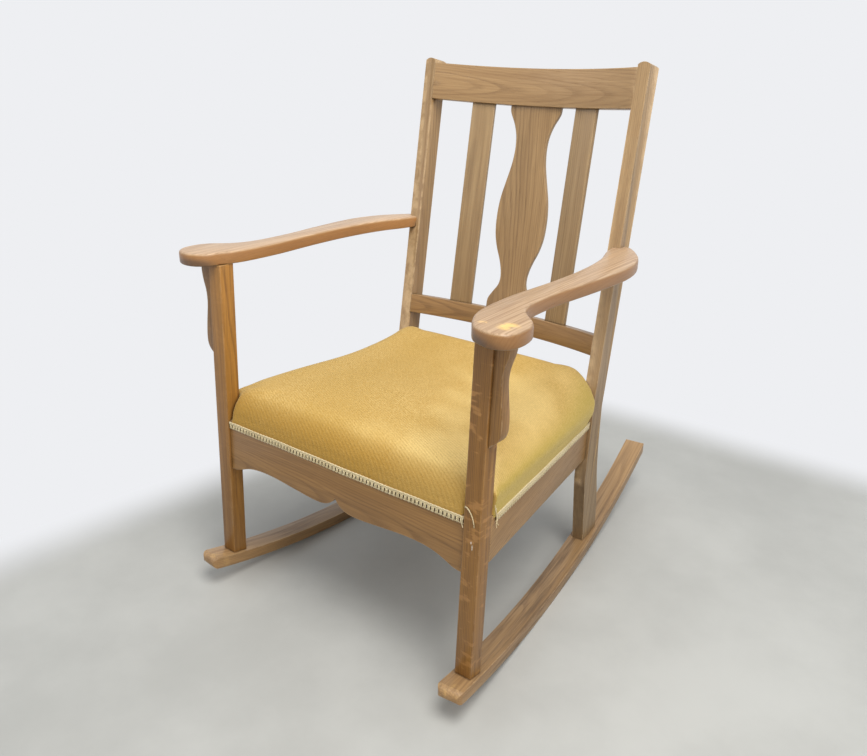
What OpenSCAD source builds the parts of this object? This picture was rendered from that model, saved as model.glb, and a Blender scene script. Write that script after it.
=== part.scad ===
// Oak armchair rocker with bowed rockers, a vase splat between two plain slats,
// shaped flat arms on corbels, and a sprung and upholstered seat.
// The chair faces -Y and stands on its rockers; Z is up. It is built in a frame of its own
// that leans back with the legs, and is then set on the rockers. Left is the sitter's left, +X.

/* [Frame] */
// Width over the outer faces of the front legs
frame_w = 600; // [560:2:660]
// Width over the outer faces of the back posts
back_w = 497; // [460:1:530]
// From the front of the front legs to the front of the back posts, at the seat
seat_d = 465; // [430:1:500]
// Height of the seat rails' tops over the feet, along the legs
seat_h = 286; // [270:1:310]
// Lean of the legs back from upright when the chair is at rest, in degrees
lean = 3.5; // [2:0.5:5]

/* [Front legs] */
// Width of a front leg
leg_w = 31; // [28:1:38]
// Depth of a front leg, front to back
leg_d = 30; // [28:1:38]
// Easing of the long corners of the legs
leg_ease = 1.5; // [0.5:0.5:3]

/* [Back posts] */
// Thickness of the board that a back post is sawn from
post_t = 24; // [20:1:30]
// Depth of a post's upper part, square to its front
post_d = 39; // [34:1:44]
// Depth of a post at its foot
post_foot_d = 56; // [50:1:62]
// How far a post's foot steps back from the seat
kick_d = 25; // [15:1:32]
// Height over the feet where the kick begins
kick_h = 160; // [130:1:180]
// Height over the feet where the back starts to recline
bend_h = 327; // [310:1:345]
// Recline of the back from the legs' own line, in degrees
recline = 6.6; // [4:0.2:10]
// Crest rail's height
crest_h = 71; // [60:1:85]
// How far a post's tip stands above the crest rail
horn_h = 9; // [4:1:20]
// Rise of the rounded tip of a post
tip_rise = 5; // [2:1:8]

/* [Rockers] */
// Radius of the sole
rocker_r = 1520; // [1300:10:1700]
// Thickness of a rocker
rocker_t = 22; // [18:1:28]
// Width of a rocker
rocker_w = 44; // [40:1:50]
// How far a rocker runs ahead of the front leg
rocker_nose = 48; // [24:1:64]
// Rounding of the corners of a rocker's nose, seen from above
nose_corner = 11; // [4:1:16]
// How far a rocker runs on behind the back leg's foot
rocker_tail = 284; // [220:2:330]
// Where the sole meets the floor, behind the front of the front legs
rest_d = 317; // [290:1:345]

/* [Rails] */
// Thickness of the seat rails
rail_t = 20; // [16:1:24]
// Depth of the seat rails
rail_h = 81; // [75:1:95]
// Extra depth of the front rail, with its shaped lower edge
apron_extra = 18; // [8:1:24]
// Rise of the front rail's shaped lower edge
apron_rise = 20; // [8:1:24]
// How far the front rail sits behind the front of the legs
rail_setback = 5; // [2:1:7]
// How far the side rail's outer face sits inside a back post's outer face
side_inset = 6; // [2:1:10]
// Thickness of the back rail
back_rail_t = 20; // [16:1:24]
// How far the back rail sits behind the front of the posts
back_rail_in = 6; // [2:1:10]
// Length of the tenons on the rails
tenon_l = 14; // [10:1:14]
// Thickness of the tenons
tenon_t = 8; // [6:1:10]
// Shoulder left above and below a tenon
tenon_shoulder = 12; // [6:1:16]
// Bow of the crest and lower back rail, front to back
back_bow = 44; // [30:1:50]
// Thickness of the crest and lower back rail
back_rail_board = 20; // [16:1:22]
// Height of the lower back rail
lower_rail_h = 40; // [34:1:50]
// Length of the slats between the lower rail and the crest
slat_l = 416; // [380:2:450]
// From the bend in the post to the top of the lower back rail
lower_rail_up = 130; // [110:1:150]

/* [Slats and splat] */
// Width of a slat
slat_w = 50; // [40:1:60]
// Thickness of the slats and the splat
slat_t = 9; // [7:1:11]
// From the middle of the back to the middle of a slat
slat_out = 116; // [100:1:130]
// Widest width of the splat
splat_w = 117; // [100:1:125]
// Length of the slats' stub tenons
slat_tenon = 10; // [6:1:14]

/* [Arms] */
// Thickness of an arm
arm_t = 22; // [19:1:26]
// Height of an arm's underside over the feet, at the front leg
arm_h = 578; // [550:1:600]
// Rise of the arm towards the back, in degrees
arm_pitch = 2.9; // [1:0.1:5]
// Width that the arm's outline is drawn to
arm_w = 102; // [90:1:110]
// How far the front pad of the left arm reaches ahead of the leg
arm_nose_left = 57; // [40:1:80]
// How far the front pad of the right arm, which was sawn shorter, reaches ahead of the leg
arm_nose_right = 36; // [30:1:70]
// Rounding of the arm's upper edges
arm_round = 5; // [3:0.5:9]
// Rounding of the arm's lower edges
arm_round_under = 2.5; // [1:0.5:5]
// How far the arm's rear end wraps behind the post's front
arm_wrap = 34; // [20:1:36]
// How far the arm's inner edge stays outside the post's inner face where they meet
arm_shy = 5; // [1:0.5:8]

/* [Corbels] */
// Height of a corbel
corbel_h = 172; // [140:1:190]
// How far a corbel stands out from the leg
corbel_out = 26; // [18:1:32]
// Thickness of a corbel
corbel_t = 20; // [14:1:24]

/* [Seat] */
// Height of the cushion's crown over the rails at the front
crown_front = 64; // [50:1:90]
// Height of the cushion's crown over the rails at the back
crown_back = 146; // [110:1:165]
// How far the cushion's sides swell out
cushion_swell = 17; // [8:1:24]
// Height at which the sides swell most
swell_h = 36; // [24:1:48]
// Thickness of the cover with its wadding, round the edge of the stuffing
cover_t = 12; // [8:1:16]
// Thickness of the stuffing under it
stuffing_h = 30; // [20:1:34]
// Height of the gimp braid
gimp_h = 14; // [10:1:18]
// Thickness of the gimp braid
gimp_t = 3; // [2:0.5:4]
// How far the gimp's top lies below the rails' tops
gimp_drop = 1; // [0.5:0.5:4]
// Width of a webbing strap
web_w = 70; // [50:1:80]
// Distance between the middles of neighbouring straps and springs
web_pitch = 112; // [100:1:120]
// Thickness of the webbing and the burlap
web_t = 2; // [1:0.5:3]
// Width of the cleats that hold the webbing
cleat_w = 18; // [14:1:24]
// Height of the cleats
cleat_h = 20; // [16:1:24]
// Height of the cleats' undersides over the front rail's highest arch
cleat_up = 13; // [3:1:18]
// Thickness of the corner blocks
block_t = 24; // [18:1:30]
// Reach of a corner block along each rail
block_reach = 55; // [40:1:70]

/* [Springs] */
// Radius of a spring's end coils
spring_r = 32; // [24:1:34]
// Radius of a spring's waist
spring_waist = 22; // [16:1:24]
// Thickness of the spring wire
spring_wire = 4; // [3:0.5:5]
// Number of turns
spring_turns = 4; // [3:1:5]

/* [Pins] */
// Diameter of the dowels through the rockers and arms
pin_d = 12; // [8:1:14]
// Depth of a dowel in the leg
pin_in = 30; // [20:1:40]

/* [Hidden] */
SIDES = ["left", "right"];
oak = [0.60, 0.45, 0.29];
oak_dark = [0.48, 0.34, 0.21];
gold = [0.80, 0.65, 0.36];
cream = [0.86, 0.80, 0.62];
jute = [0.66, 0.55, 0.38];
steel = [0.45, 0.45, 0.47];
// Overrun of every cut
over = 40;
// Clearance between soft parts and wood
soft_gap = 0.3;
far = 2 * seat_d;

// The rocker's direction and places
leg_x = (frame_w - leg_w) / 2;
post_x = (back_w - post_t) / 2;
foot_y = seat_d + kick_d;
toe = atan((leg_x - post_x) / (foot_y + (post_foot_d - leg_d) / 2));
rest_l = (rest_d - leg_d / 2) / cos(toe);
nose_l = (rocker_nose + leg_d / 2) / cos(toe);
tail_l = (foot_y + post_foot_d + rocker_tail - leg_d / 2) / cos(toe);
top_r = rocker_r - rocker_t;
// Height of the rocker's top under the front leg's middle
foot_z = rocker_r - sqrt(top_r * top_r - rest_l * rest_l);
// Middle of the rockers' whole length, which is set over the origin
front_y = leg_d / 2 - nose_l * cos(toe) - rocker_w / 2 * sin(toe)
    + nose_corner * (cos(toe) + sin(toe) - 1);
rear_y = leg_d / 2 + tail_l * cos(toe) + rocker_w / 2 * sin(toe);
mid_y = (front_y + rear_y) / 2;

// Heights along the back, from the bend in the post
lower_top = lower_rail_up;
crest_low = lower_top + slat_l;
crest_top = crest_low + crest_h;
post_top = crest_top + horn_h;
// The bowed rails' arc between the posts
bow_half = back_w / 2 - post_t;
bow_r = (bow_half * bow_half + back_bow * back_bow) / (2 * back_bow);

// The seat's plan: the side rail's line
side_run = seat_d - leg_d;
side_step = (frame_w - back_w) / 2 + side_inset;
side_angle = atan(side_step / side_run);
side_len = side_run / cos(side_angle);
rail_low = seat_h - rail_h;
apron_low = rail_low - apron_extra;
arch_z = apron_low + apron_rise;
cleat_z = arch_z + cleat_up;
front_in = rail_setback + rail_t;
back_rail_y = seat_d + back_rail_in;
back_out = back_rail_y + back_rail_t;

// Half width of the seat over the side rails at a given depth
function seat_half(y) = frame_w / 2 - (y - leg_d) * tan(side_angle);
// The same, to the inner faces of the side rails
function seat_in(y) = seat_half(y) - rail_t / cos(side_angle);
function sign_of(side) = side == "left" ? 1 : -1;

// A curve through the given points, with some steps between each two
function spline_at(p, i, t) = let(
    n = len(p),
    a = p[max(i - 1, 0)], b = p[i], c = p[min(i + 1, n - 1)], d = p[min(i + 2, n - 1)]
) 0.5 * ((2 * b) + (c - a) * t + (2 * a - 5 * b + 4 * c - d) * t * t
    + (3 * b - a - 3 * c + d) * t * t * t);
function spline(p, steps) = [
    for (i = [0 : len(p) - 2]) for (k = [0 : steps - 1]) spline_at(p, i, k / steps),
    p[len(p) - 1]
];
// A rectangle's outline with eased corners, centred
ease_steps = 3;
function eased(w, d, r) = [
    for (q = [0 : 3]) for (k = [0 : ease_steps])
        let(a = 90 * q + 90 * k / ease_steps,
            sx = (q == 0 || q == 3) ? 1 : -1, sy = (q < 2) ? 1 : -1)
        [sx * (w / 2 - r) + r * cos(a), sy * (d / 2 - r) + r * sin(a)]
];

// A closed solid through rings of equal length. Its flat ends are whole polygons, or for a
// long outline strips across it, from each point to the one as far from the other end
function end_strips(n) = [
    for (i = [0 : floor((n - 1) / 2) - 1])
        i + 1 == n - 2 - i ? [i, i + 1, n - 1 - i] : [i, i + 1, n - 2 - i, n - 1 - i]
];
function backwards(list) = [for (i = [len(list) - 1 : -1 : 0]) list[i]];
function ring_faces(n, rings, ends) = concat(
    ends,
    [for (k = [0 : rings - 2]) for (i = [0 : n - 1]) let(j = (i + 1) % n)
        [k * n + i, (k + 1) * n + j, k * n + j]],
    [for (k = [0 : rings - 2]) for (i = [0 : n - 1]) let(j = (i + 1) % n)
        [k * n + i, (k + 1) * n + i, (k + 1) * n + j]],
    [for (face = ends) backwards([for (i = face) (rings - 1) * n + i])]
);
module skin(rings, strips = false) {
    n = len(rings[0]);
    ends = strips ? end_strips(n) : [[for (i = [0 : n - 1]) i]];
    polyhedron(points = [for (r = rings) each r], faces = ring_faces(n, len(rings), ends), convexity = 6);
}

// The whole chair stands with its middle over the origin
module stand() translate([0, -mid_y, 0]) children();
// The leaning frame of the chair on its rockers
module chair() stand() translate([0, 0, foot_z]) rotate([-lean, 0, 0]) children();
// The reclined frame of the back, from the bend in the posts
module back() chair() translate([0, seat_d, bend_h]) rotate([-recline, 0, 0]) children();
module to_side(side) mirror([side == "left" ? 0 : 1, 0, 0]) children();
// A rocker's own frame: along the board, from the front leg's middle
module rocker_frame() stand() translate([leg_x, leg_d / 2, 0]) rotate([0, 0, toe]) children();
// A disc across the rocker, about the centre of its curve
module rocker_disc(r, w) translate([-w / 2, rest_l, rocker_r]) rotate([0, 90, 0])
    cylinder(r = r, h = w, $fn = 720);

// Space above the top of a rocker
module above_rocker() rocker_frame() rocker_disc(top_r, rocker_w + 2 * over);

// The rockers are bent boards with a nose that is round from the side and from above, and a
// square tail
nose_fall = rocker_r - sqrt(pow(rocker_r - rocker_t / 2, 2) - pow(rest_l + nose_l - rocker_t / 2, 2));
module nose_corner_cut() translate([rocker_w / 2 - nose_corner, nose_corner - nose_l, -over])
    linear_extrude(8 * over) difference() {
        translate([0, -nose_corner - over]) square([nose_corner + over, nose_corner + over]);
        circle(r = nose_corner, $fn = 48);
    }
module rocker_blank() {
    intersection() {
        difference() {
            rocker_disc(rocker_r, rocker_w);
            rocker_disc(top_r, rocker_w + over);
        }
        translate([-rocker_w, rocker_t / 2 - nose_l, -over])
            cube([2 * rocker_w, nose_l - rocker_t / 2 + tail_l, 8 * over]);
    }
    translate([-rocker_w / 2, rocker_t / 2 - nose_l, nose_fall]) rotate([0, 90, 0])
        cylinder(d = rocker_t, h = rocker_w, $fn = 48);
}
module rocker_body(side) color(oak) to_side(side) difference() {
    rocker_frame() rocker_blank();
    pin_bore("front");
    pin_bore("back");
    rocker_frame() for (way = [0, 1]) mirror([way, 0, 0]) nose_corner_cut();
}

// Dowels that hold the legs on the rockers, flush under the sole
module pin_place(end) {
    if (end == "front") chair() translate([leg_x, leg_d / 2, 0]) children();
    else chair() translate([post_x, foot_y + post_foot_d / 2, 0]) children();
}
module pin_bore(end) pin_place(end) translate([0, 0, -pin_in - rocker_t])
    cylinder(d = pin_d, h = 2 * pin_in + rocker_t, $fn = 48);
module rocker_pin_solid(end) intersection() {
    pin_bore(end);
    rocker_frame() rocker_disc(rocker_r, 8 * over);
}
module rocker_pin(side, end) color(oak_dark) to_side(side) rocker_pin_solid(end);

// The arm's own frame, on its underside
module arm_frame() chair() translate([0, 0, arm_h]) rotate([arm_pitch, 0, 0]) children();
module above_arm() arm_frame() translate([-frame_w, -far, 0]) cube([2 * frame_w, 3 * far, far]);
module arm_pin_solid() chair() translate([leg_x, leg_d / 2, arm_h - pin_in])
    cylinder(d = pin_d, h = pin_in + arm_t / 2, $fn = 48);
module arm_pin(side) color(oak_dark) to_side(side) arm_pin_solid();

// Tenons of the seat rails, also cut from what they enter
module front_tenon() chair() translate([frame_w / 2 - leg_w - over, rail_setback
    + (rail_t - tenon_t) / 2, rail_low + tenon_shoulder])
    cube([over + tenon_l, tenon_t, rail_h - 2 * tenon_shoulder]);
module side_frame() chair() translate([frame_w / 2, leg_d, rail_low])
    rotate([0, 0, side_angle]) children();
module side_tenons() side_frame() translate([-(rail_t + tenon_t) / 2, -tenon_l, tenon_shoulder])
    cube([tenon_t, side_len + 2 * tenon_l, rail_h - 2 * tenon_shoulder]);
module back_tenon() chair() translate([bow_half - over, back_rail_y
    + (back_rail_t - tenon_t) / 2, rail_low + tenon_shoulder])
    cube([over + tenon_l, tenon_t, rail_h - 2 * tenon_shoulder]);
module bowed_tenon(low, h) back() translate([bow_half - over, (back_rail_board - tenon_t) / 2,
    low + tenon_shoulder / 2])
    cube([over + tenon_l, tenon_t, h - tenon_shoulder]);

// Front legs run from the rocker up to the underside of the arm
module front_leg(side) color(oak) to_side(side) difference() {
    intersection() {
        chair() translate([leg_x, leg_d / 2, -over])
            linear_extrude(arm_h + 2 * over) polygon(eased(leg_w, leg_d, leg_ease));
        above_rocker();
    }
    above_arm();
    rocker_pin_solid("front");
    arm_pin_solid();
    front_tenon();
    side_tenons();
}

// Back posts are sawn to shape, with a kick below and the reclined back above
// The kick's front: shares of its step and of its height
kick_shares = [[1, 0], [0.12, 0.86], [0, 1]];
// The post's back below the bend: shares of what it stands out beyond the upper depth,
// and of the bend's height
post_back_shares = [[0.02, 0.95], [0.11, 0.745], [0.36, 0.49], [0.76, 0.27], [1, 0]];
module post_side() {
    rise = post_top + over;
    ramp = [sin(recline), cos(recline)];
    face = [cos(recline), -sin(recline)];
    top_front = [seat_d, bend_h] + rise * ramp;
    spread = foot_y + post_foot_d - seat_d - post_d;
    step = kick_d * over / kick_h;
    heel = [for (s = post_back_shares) [seat_d + post_d + s[0] * spread, s[1] * bend_h]];
    polygon(concat(
        [[foot_y + step, -over]],
        [for (s = kick_shares) [seat_d + s[0] * kick_d, s[1] * kick_h]],
        [[seat_d, bend_h], top_front, top_front + post_d * face],
        spline(heel, 3),
        [[foot_y + post_foot_d + step, -over]]
    ));
}
module post_blank() chair() translate([back_w / 2 - post_t, 0, 0]) rotate([90, 0, 90])
    linear_extrude(post_t) post_side();
// The round-topped tip, arched across the post
tip_r = (post_t * post_t / 4 + tip_rise * tip_rise) / (2 * tip_rise);
module post_tip_space() back() union() {
    translate([post_x, -over, post_top - tip_r]) rotate([-90, 0, 0])
        cylinder(r = tip_r, h = post_d + 2 * over, $fn = 96);
    translate([post_x - 2 * over, -far, -far]) cube([4 * over, 2 * far, far + post_top - tip_rise]);
}
module back_post(side) color(oak) to_side(side) difference() {
    intersection() {
        post_blank();
        above_rocker();
        post_tip_space();
    }
    rocker_pin_solid("back");
    side_tenons();
    back_tenon();
    bowed_tenon(lower_top - lower_rail_h, lower_rail_h);
    bowed_tenon(crest_low, crest_h);
}

// The front rail's lower edge: full at the legs, a shallow arch each side, a low middle with
// a cusped notch. Each pair is the share of the half length and the share of the rise
apron_shares = [
    [1, 0], [0.94, 0.08], [0.89, 0.34], [0.83, 0.66], [0.77, 0.86], [0.69, 0.98], [0.6, 1],
    [0.5, 0.92], [0.4, 0.79], [0.3, 0.67], [0.22, 0.59], [0.15, 0.57], [0.1, 0.65],
    [0.06, 0.84], [0.03, 1.12], [0.01, 1.42], [0, 1.6]
];
module front_seat_rail() color(oak) {
    half = frame_w / 2 - leg_w;
    edge = spline([for (s = apron_shares) [s[0] * half, apron_low + s[1] * apron_rise]], 3);
    mirrored = [for (i = [len(edge) - 2 : -1 : 0]) [-edge[i][0], edge[i][1]]];
    chair() translate([0, rail_setback + rail_t, 0]) rotate([90, 0, 0])
        linear_extrude(rail_t) polygon(concat(
            [[-half, seat_h], [half, seat_h]], edge, mirrored));
    for (side = SIDES) to_side(side) intersection() {
        front_tenon();
        chair() translate([half - tenon_l, -far, 0]) cube([over + tenon_l, 2 * far, far]);
    }
}
module side_seat_rail(side) color(oak) to_side(side) {
    intersection() {
        side_frame() translate([-rail_t, -over, 0]) cube([rail_t, side_len + 2 * over, rail_h]);
        chair() translate([0, leg_d, 0]) cube([frame_w, side_run, far]);
    }
    difference() {
        side_tenons();
        chair() translate([0, leg_d + tenon_l, 0]) cube([frame_w, side_run - 2 * tenon_l, far]);
    }
}
module back_seat_rail() color(oak) {
    chair() translate([-bow_half, back_rail_y, rail_low]) cube([2 * bow_half, back_rail_t, rail_h]);
    for (side = SIDES) to_side(side) intersection() {
        back_tenon();
        chair() translate([bow_half - tenon_l, -far, 0]) cube([over + tenon_l, 2 * far, far]);
    }
}

// The crest and the lower back rail are bowed back between the posts
module bowed_board(low, h, front_r, thick) intersection() {
    translate([0, back_bow - bow_r, low]) difference() {
        cylinder(r = front_r + thick, h = h, $fn = 360);
        translate([0, 0, -over]) cylinder(r = front_r, h = h + 2 * over, $fn = 360);
    }
    translate([-bow_half, -over, low - over]) cube([2 * bow_half, 4 * over, h + 2 * over]);
}
module bowed_rail(low, h) {
    difference() {
        back() bowed_board(low, h, bow_r, back_rail_board);
        back_boards();
    }
    for (side = SIDES) to_side(side) intersection() {
        bowed_tenon(low, h);
        back() translate([bow_half - tenon_t, -far, 0]) cube([over + tenon_t, 2 * far, far]);
    }
}
module crest_rail() color(oak) bowed_rail(crest_low, crest_h);
module lower_back_rail() color(oak) bowed_rail(lower_top - lower_rail_h, lower_rail_h);

// Slats and splat stand in the middle of the bowed rails, square to the curve
board_in = (back_rail_board - slat_t) / 2;
module slat_solid() back() translate([0, back_bow - bow_r, 0])
    rotate([0, 0, -asin(slat_out / bow_r)])
    translate([-slat_w / 2, bow_r + board_in, lower_top - slat_tenon])
    cube([slat_w, slat_t, slat_l + 2 * slat_tenon]);
// Half widths of the splat against its height, both as shares
splat_shares = [
    [0, 0.97], [0.045, 0.95], [0.085, 0.78], [0.12, 0.6], [0.15, 0.53], [0.185, 0.53],
    [0.225, 0.59], [0.265, 0.69], [0.3, 0.8], [0.34, 0.9], [0.385, 0.97], [0.44, 1],
    [0.5, 0.99], [0.56, 0.94], [0.62, 0.84], [0.68, 0.73], [0.73, 0.65], [0.78, 0.605],
    [0.82, 0.6], [0.86, 0.63], [0.895, 0.7], [0.925, 0.79], [0.952, 0.9], [0.975, 0.97], [1, 0.98]
];
module splat_solid() {
    edge = spline([for (s = splat_shares) [s[1] * splat_w / 2, lower_top + s[0] * slat_l]], 3);
    foot = splat_shares[0][1] * splat_w / 2;
    neck = splat_shares[len(splat_shares) - 1][1] * splat_w / 2;
    other = [for (p = backwards(edge)) [-p[0], p[1]]];
    back() translate([0, back_bow + board_in + slat_t, 0]) rotate([90, 0, 0])
        linear_extrude(slat_t) polygon(concat(
            [[foot, lower_top - slat_tenon]], edge, [[neck, crest_low + slat_tenon],
                [-neck, crest_low + slat_tenon]], other, [[-foot, lower_top - slat_tenon]]));
}
module back_boards() {
    splat_solid();
    for (side = SIDES) to_side(side) slat_solid();
}
module back_slat(side) color(oak) to_side(side) slat_solid();
module center_splat() color(oak) splat_solid();

// The arm's outline, from the post along the inner edge to the nose and back outside. Each
// pair is the share of the arm's length from its nose to the post, and how far out from the
// line between leg and post, as a share of the arm's width
arm_inner_shares = [
    [0.943, -0.13], [0.876, -0.045], [0.806, 0.0], [0.717, 0.01], [0.611, -0.02], [0.491, -0.1],
    [0.4, -0.18], [0.311, -0.26], [0.205, -0.31], [0.134, -0.305], [0.085, -0.235]
];
arm_front_left_shares = [
    [0.048, -0.135], [0.02, -0.02], [0.006, 0.13], [0, 0.28], [0.005, 0.42], [0.022, 0.54],
    [0.056, 0.605], [0.095, 0.615], [0.13, 0.575], [0.158, 0.47], [0.184, 0.34],
    [0.212, 0.24], [0.254, 0.19], [0.32, 0.205], [0.4, 0.255]
];
arm_front_right_shares = [
    [0.048, -0.2], [0.02, -0.12], [0.004, 0.0], [0, 0.16], [0.006, 0.31], [0.022, 0.46],
    [0.05, 0.573], [0.085, 0.621], [0.125, 0.612], [0.16, 0.52], [0.187, 0.385],
    [0.216, 0.285], [0.26, 0.225], [0.32, 0.225], [0.4, 0.268]
];
arm_outer_shares = [
    [0.479, 0.34], [0.558, 0.43], [0.664, 0.535], [0.77, 0.615], [0.85, 0.615],
    [0.924, 0.535], [0.982, 0.4]
];
// The last bend outside the post: shares of the arm's width and of its wrap
arm_tail_shares = [0.15, 0.75];
post_front = seat_d + (arm_h - bend_h) * tan(recline);
function arm_line(t) = frame_w / 2 + ((back_w - frame_w) / 2) * t;
function arm_point(s, nose) = [arm_line(s[0]) + s[1] * arm_w, s[0] * (post_front + nose) - nose];
function arm_outline(nose, front_shares) = spline(concat(
        [[bow_half + arm_shy, post_front + 3 * arm_round]],
        [for (s = concat(arm_inner_shares, front_shares, arm_outer_shares)) arm_point(s, nose)],
        [[back_w / 2 + arm_tail_shares[0] * arm_w, post_front + arm_tail_shares[1] * arm_wrap],
            [post_x, post_front + arm_wrap]]
), 2);
function unit(v) = v / norm(v);
// The outline drawn in evenly by a distance
function inset(p, e) = let(n = len(p)) [
    for (i = [0 : n - 1]) let(
        t = unit(p[(i + 1) % n] - p[(i + n - 1) % n])
    ) p[i] + e * [-t[1], t[0]]
];
round_steps = 3;
function arm_rings(edge) = concat(
    [for (k = [0 : round_steps]) let(a = 90 * k / round_steps)
        [for (p = inset(edge, arm_round_under * (1 - sin(a))))
            [p[0], p[1], arm_round_under * (1 - cos(a))]]],
    [for (k = [0 : round_steps]) let(a = 90 * k / round_steps)
        [for (p = inset(edge, arm_round * (1 - cos(a))))
            [p[0], p[1], arm_t - arm_round * (1 - sin(a))]]]
);
module arm(side) color(oak) to_side(side) difference() {
    edge = side == "left" ? arm_outline(arm_nose_left, arm_front_left_shares)
        : arm_outline(arm_nose_right, arm_front_right_shares);
    arm_frame() skin(arm_rings(edge), true);
    post_blank();
    arm_pin_solid();
}

// Corbels stand on the outer faces of the front legs, up to the arm
corbel_shares = [
    [0, 0], [0.03, 0.17], [0.07, 0.5], [0.12, 0.7], [0.18, 0.77], [0.25, 0.77], [0.33, 0.73],
    [0.42, 0.66], [0.5, 0.59], [0.58, 0.55], [0.66, 0.58], [0.73, 0.68], [0.8, 0.84],
    [0.87, 0.95], [0.93, 1], [1, 1]
];
module arm_corbel(side) color(oak) to_side(side) difference() {
    low = arm_h - corbel_h;
    edge = spline([for (s = corbel_shares)
        [frame_w / 2 + s[1] * corbel_out, low + s[0] * corbel_h]], 2);
    chair() translate([0, (leg_d + corbel_t) / 2, 0]) rotate([90, 0, 0])
        linear_extrude(corbel_t) polygon(concat(
            edge, [[frame_w / 2 + corbel_out, arm_h + over], [frame_w / 2, arm_h + over]]));
    above_arm();
}

// Corner blocks brace the seat frame on top of the cleats
block_z = cleat_z + cleat_h;
module front_block(side) color(oak_dark) to_side(side) chair() translate([0, 0, block_z])
    linear_extrude(block_t) polygon([
        [frame_w / 2 - leg_w - block_reach, front_in], [frame_w / 2 - leg_w, front_in],
        [frame_w / 2 - leg_w, leg_d], [seat_in(leg_d), leg_d],
        [seat_in(leg_d + block_reach), leg_d + block_reach]
    ]);
module back_block(side) color(oak_dark) to_side(side) chair() translate([0, 0, block_z])
    linear_extrude(block_t) polygon([
        [bow_half - block_reach, back_rail_y], [bow_half, back_rail_y], [bow_half, seat_d],
        [seat_in(seat_d), seat_d], [seat_in(seat_d - block_reach), seat_d - block_reach]
    ]);

// Cleats run round the inside of the seat frame and carry the webbing
module cleat_front() color(oak_dark) chair() translate([leg_w - frame_w / 2, front_in, cleat_z])
    cube([frame_w - 2 * leg_w, cleat_w, cleat_h]);
module cleat_back() color(oak_dark) chair() translate([0, 0, cleat_z]) linear_extrude(cleat_h)
    polygon([
        [-seat_in(seat_d), seat_d], [-bow_half, seat_d], [-bow_half, back_rail_y],
        [bow_half, back_rail_y], [bow_half, seat_d], [seat_in(seat_d), seat_d],
        [seat_in(back_rail_y - cleat_w), back_rail_y - cleat_w],
        [-seat_in(back_rail_y - cleat_w), back_rail_y - cleat_w]
    ]);
module cleat_side(side) color(oak_dark) to_side(side) {
    y0 = front_in + cleat_w;
    y1 = back_rail_y - cleat_w;
    chair() translate([0, 0, cleat_z - web_t]) linear_extrude(cleat_h + web_t) polygon([
        [seat_in(y0), y0], [seat_in(y1), y1],
        [seat_in(y1) - cleat_w, y1], [seat_in(y0) - cleat_w, y0]
    ]);
}

// Webbing: three straps front to back over three from side to side
web_mid_y = (front_in + back_rail_y) / 2;
function strap(i) = (i - 2) * web_pitch;
module webbing_long(i) color(jute) chair()
    translate([strap(i) - web_w / 2, front_in, cleat_z - web_t])
    cube([web_w, back_rail_y - front_in, web_t]);
module webbing_cross(i) color(jute) chair() translate([0, 0, cleat_z - 2 * web_t])
    linear_extrude(web_t) polygon([
        for (c = [[1, -1], [1, 1], [-1, 1], [-1, -1]])
            let(y = web_mid_y + strap(i) + c[1] * web_w / 2) [c[0] * seat_in(y), y]
    ]);

// Springs: unbroken tubes, wide at both ends, that stand on the crossings of the straps
burlap_z = seat_h;
spring_h = burlap_z - cleat_z;
spring_sides = 6;
spring_steps = 8;
wire_r = spring_wire / 2;
ring_count = spring_turns * spring_steps;
// The end turns lie almost flat and the middle climbs. The share of a turn that does, and
// its climb as a share of the wire's thickness
flat_turn_share = 0.75;
flat_climb_share = 1.35;
flat_part = flat_turn_share / spring_turns;
flat_climb = spring_wire * flat_climb_share;
function spring_lift(t) = max(0, min(1, (t - flat_part) / (1 - 2 * flat_part)));
function spring_point(k) = let(
    t = k / ring_count,
    r = spring_waist + (spring_r - spring_waist) * pow(abs(2 * t - 1), 2),
    a = 360 * k / spring_steps,
    low = min(t / flat_part, 1) * flat_climb,
    high = min((1 - t) / flat_part, 1) * flat_climb,
    room = spring_h - 2 * wire_r - 2 * flat_climb
) [r * cos(a), r * sin(a), wire_r + low + spring_lift(t) * room + (flat_climb - high)];
spring_path = [for (k = [0 : ring_count]) spring_point(k)];
function spring_ring(k) = let(
    p = spring_path[k],
    t = unit(spring_path[min(k + 1, ring_count)] - spring_path[max(k - 1, 0)]),
    out = unit([p[0], p[1], 0]),
    up = unit(cross(out, t))
) [for (i = [spring_sides - 1 : -1 : 0]) let(a = 360 * i / spring_sides)
    p + wire_r * (cos(a) * out + sin(a) * up)];
// Least gap between turns, measured on the path's points
spring_gap = min([for (i = [0 : ring_count - spring_steps + 1]) for (j = [i + spring_steps - 1 : ring_count])
    norm(spring_path[i] - spring_path[j]) - spring_wire]);
module seat_spring(i) {
    column = (i - 1) % 3 + 1;
    row = floor((i - 1) / 3) + 1;
    echo("least gap between a spring's turns", spring_gap);
    color(steel) chair() translate([strap(column), web_mid_y + strap(row), cleat_z])
        skin([for (k = [0 : ring_count]) spring_ring(k)]);
}

// The burlap's outline, drawn in from the rails' outer faces and clear of legs and posts
function seat_plan(e) = [
    [frame_w / 2 - leg_w - e, rail_setback + e], [frame_w / 2 - leg_w - e, leg_d + e],
    [seat_half(leg_d + e) - e / cos(side_angle), leg_d + e],
    [seat_half(seat_d - e) - e / cos(side_angle), seat_d - e],
    [bow_half - e, seat_d - e], [bow_half - e, back_out - e]
];
function both_sides(p) = concat(p, [for (q = backwards(p)) [-q[0], q[1]]]);
module burlap_solid() chair() translate([0, 0, burlap_z]) linear_extrude(web_t)
    polygon(both_sides(seat_plan(web_t)));
module burlap() color(jute) burlap_solid();

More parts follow.
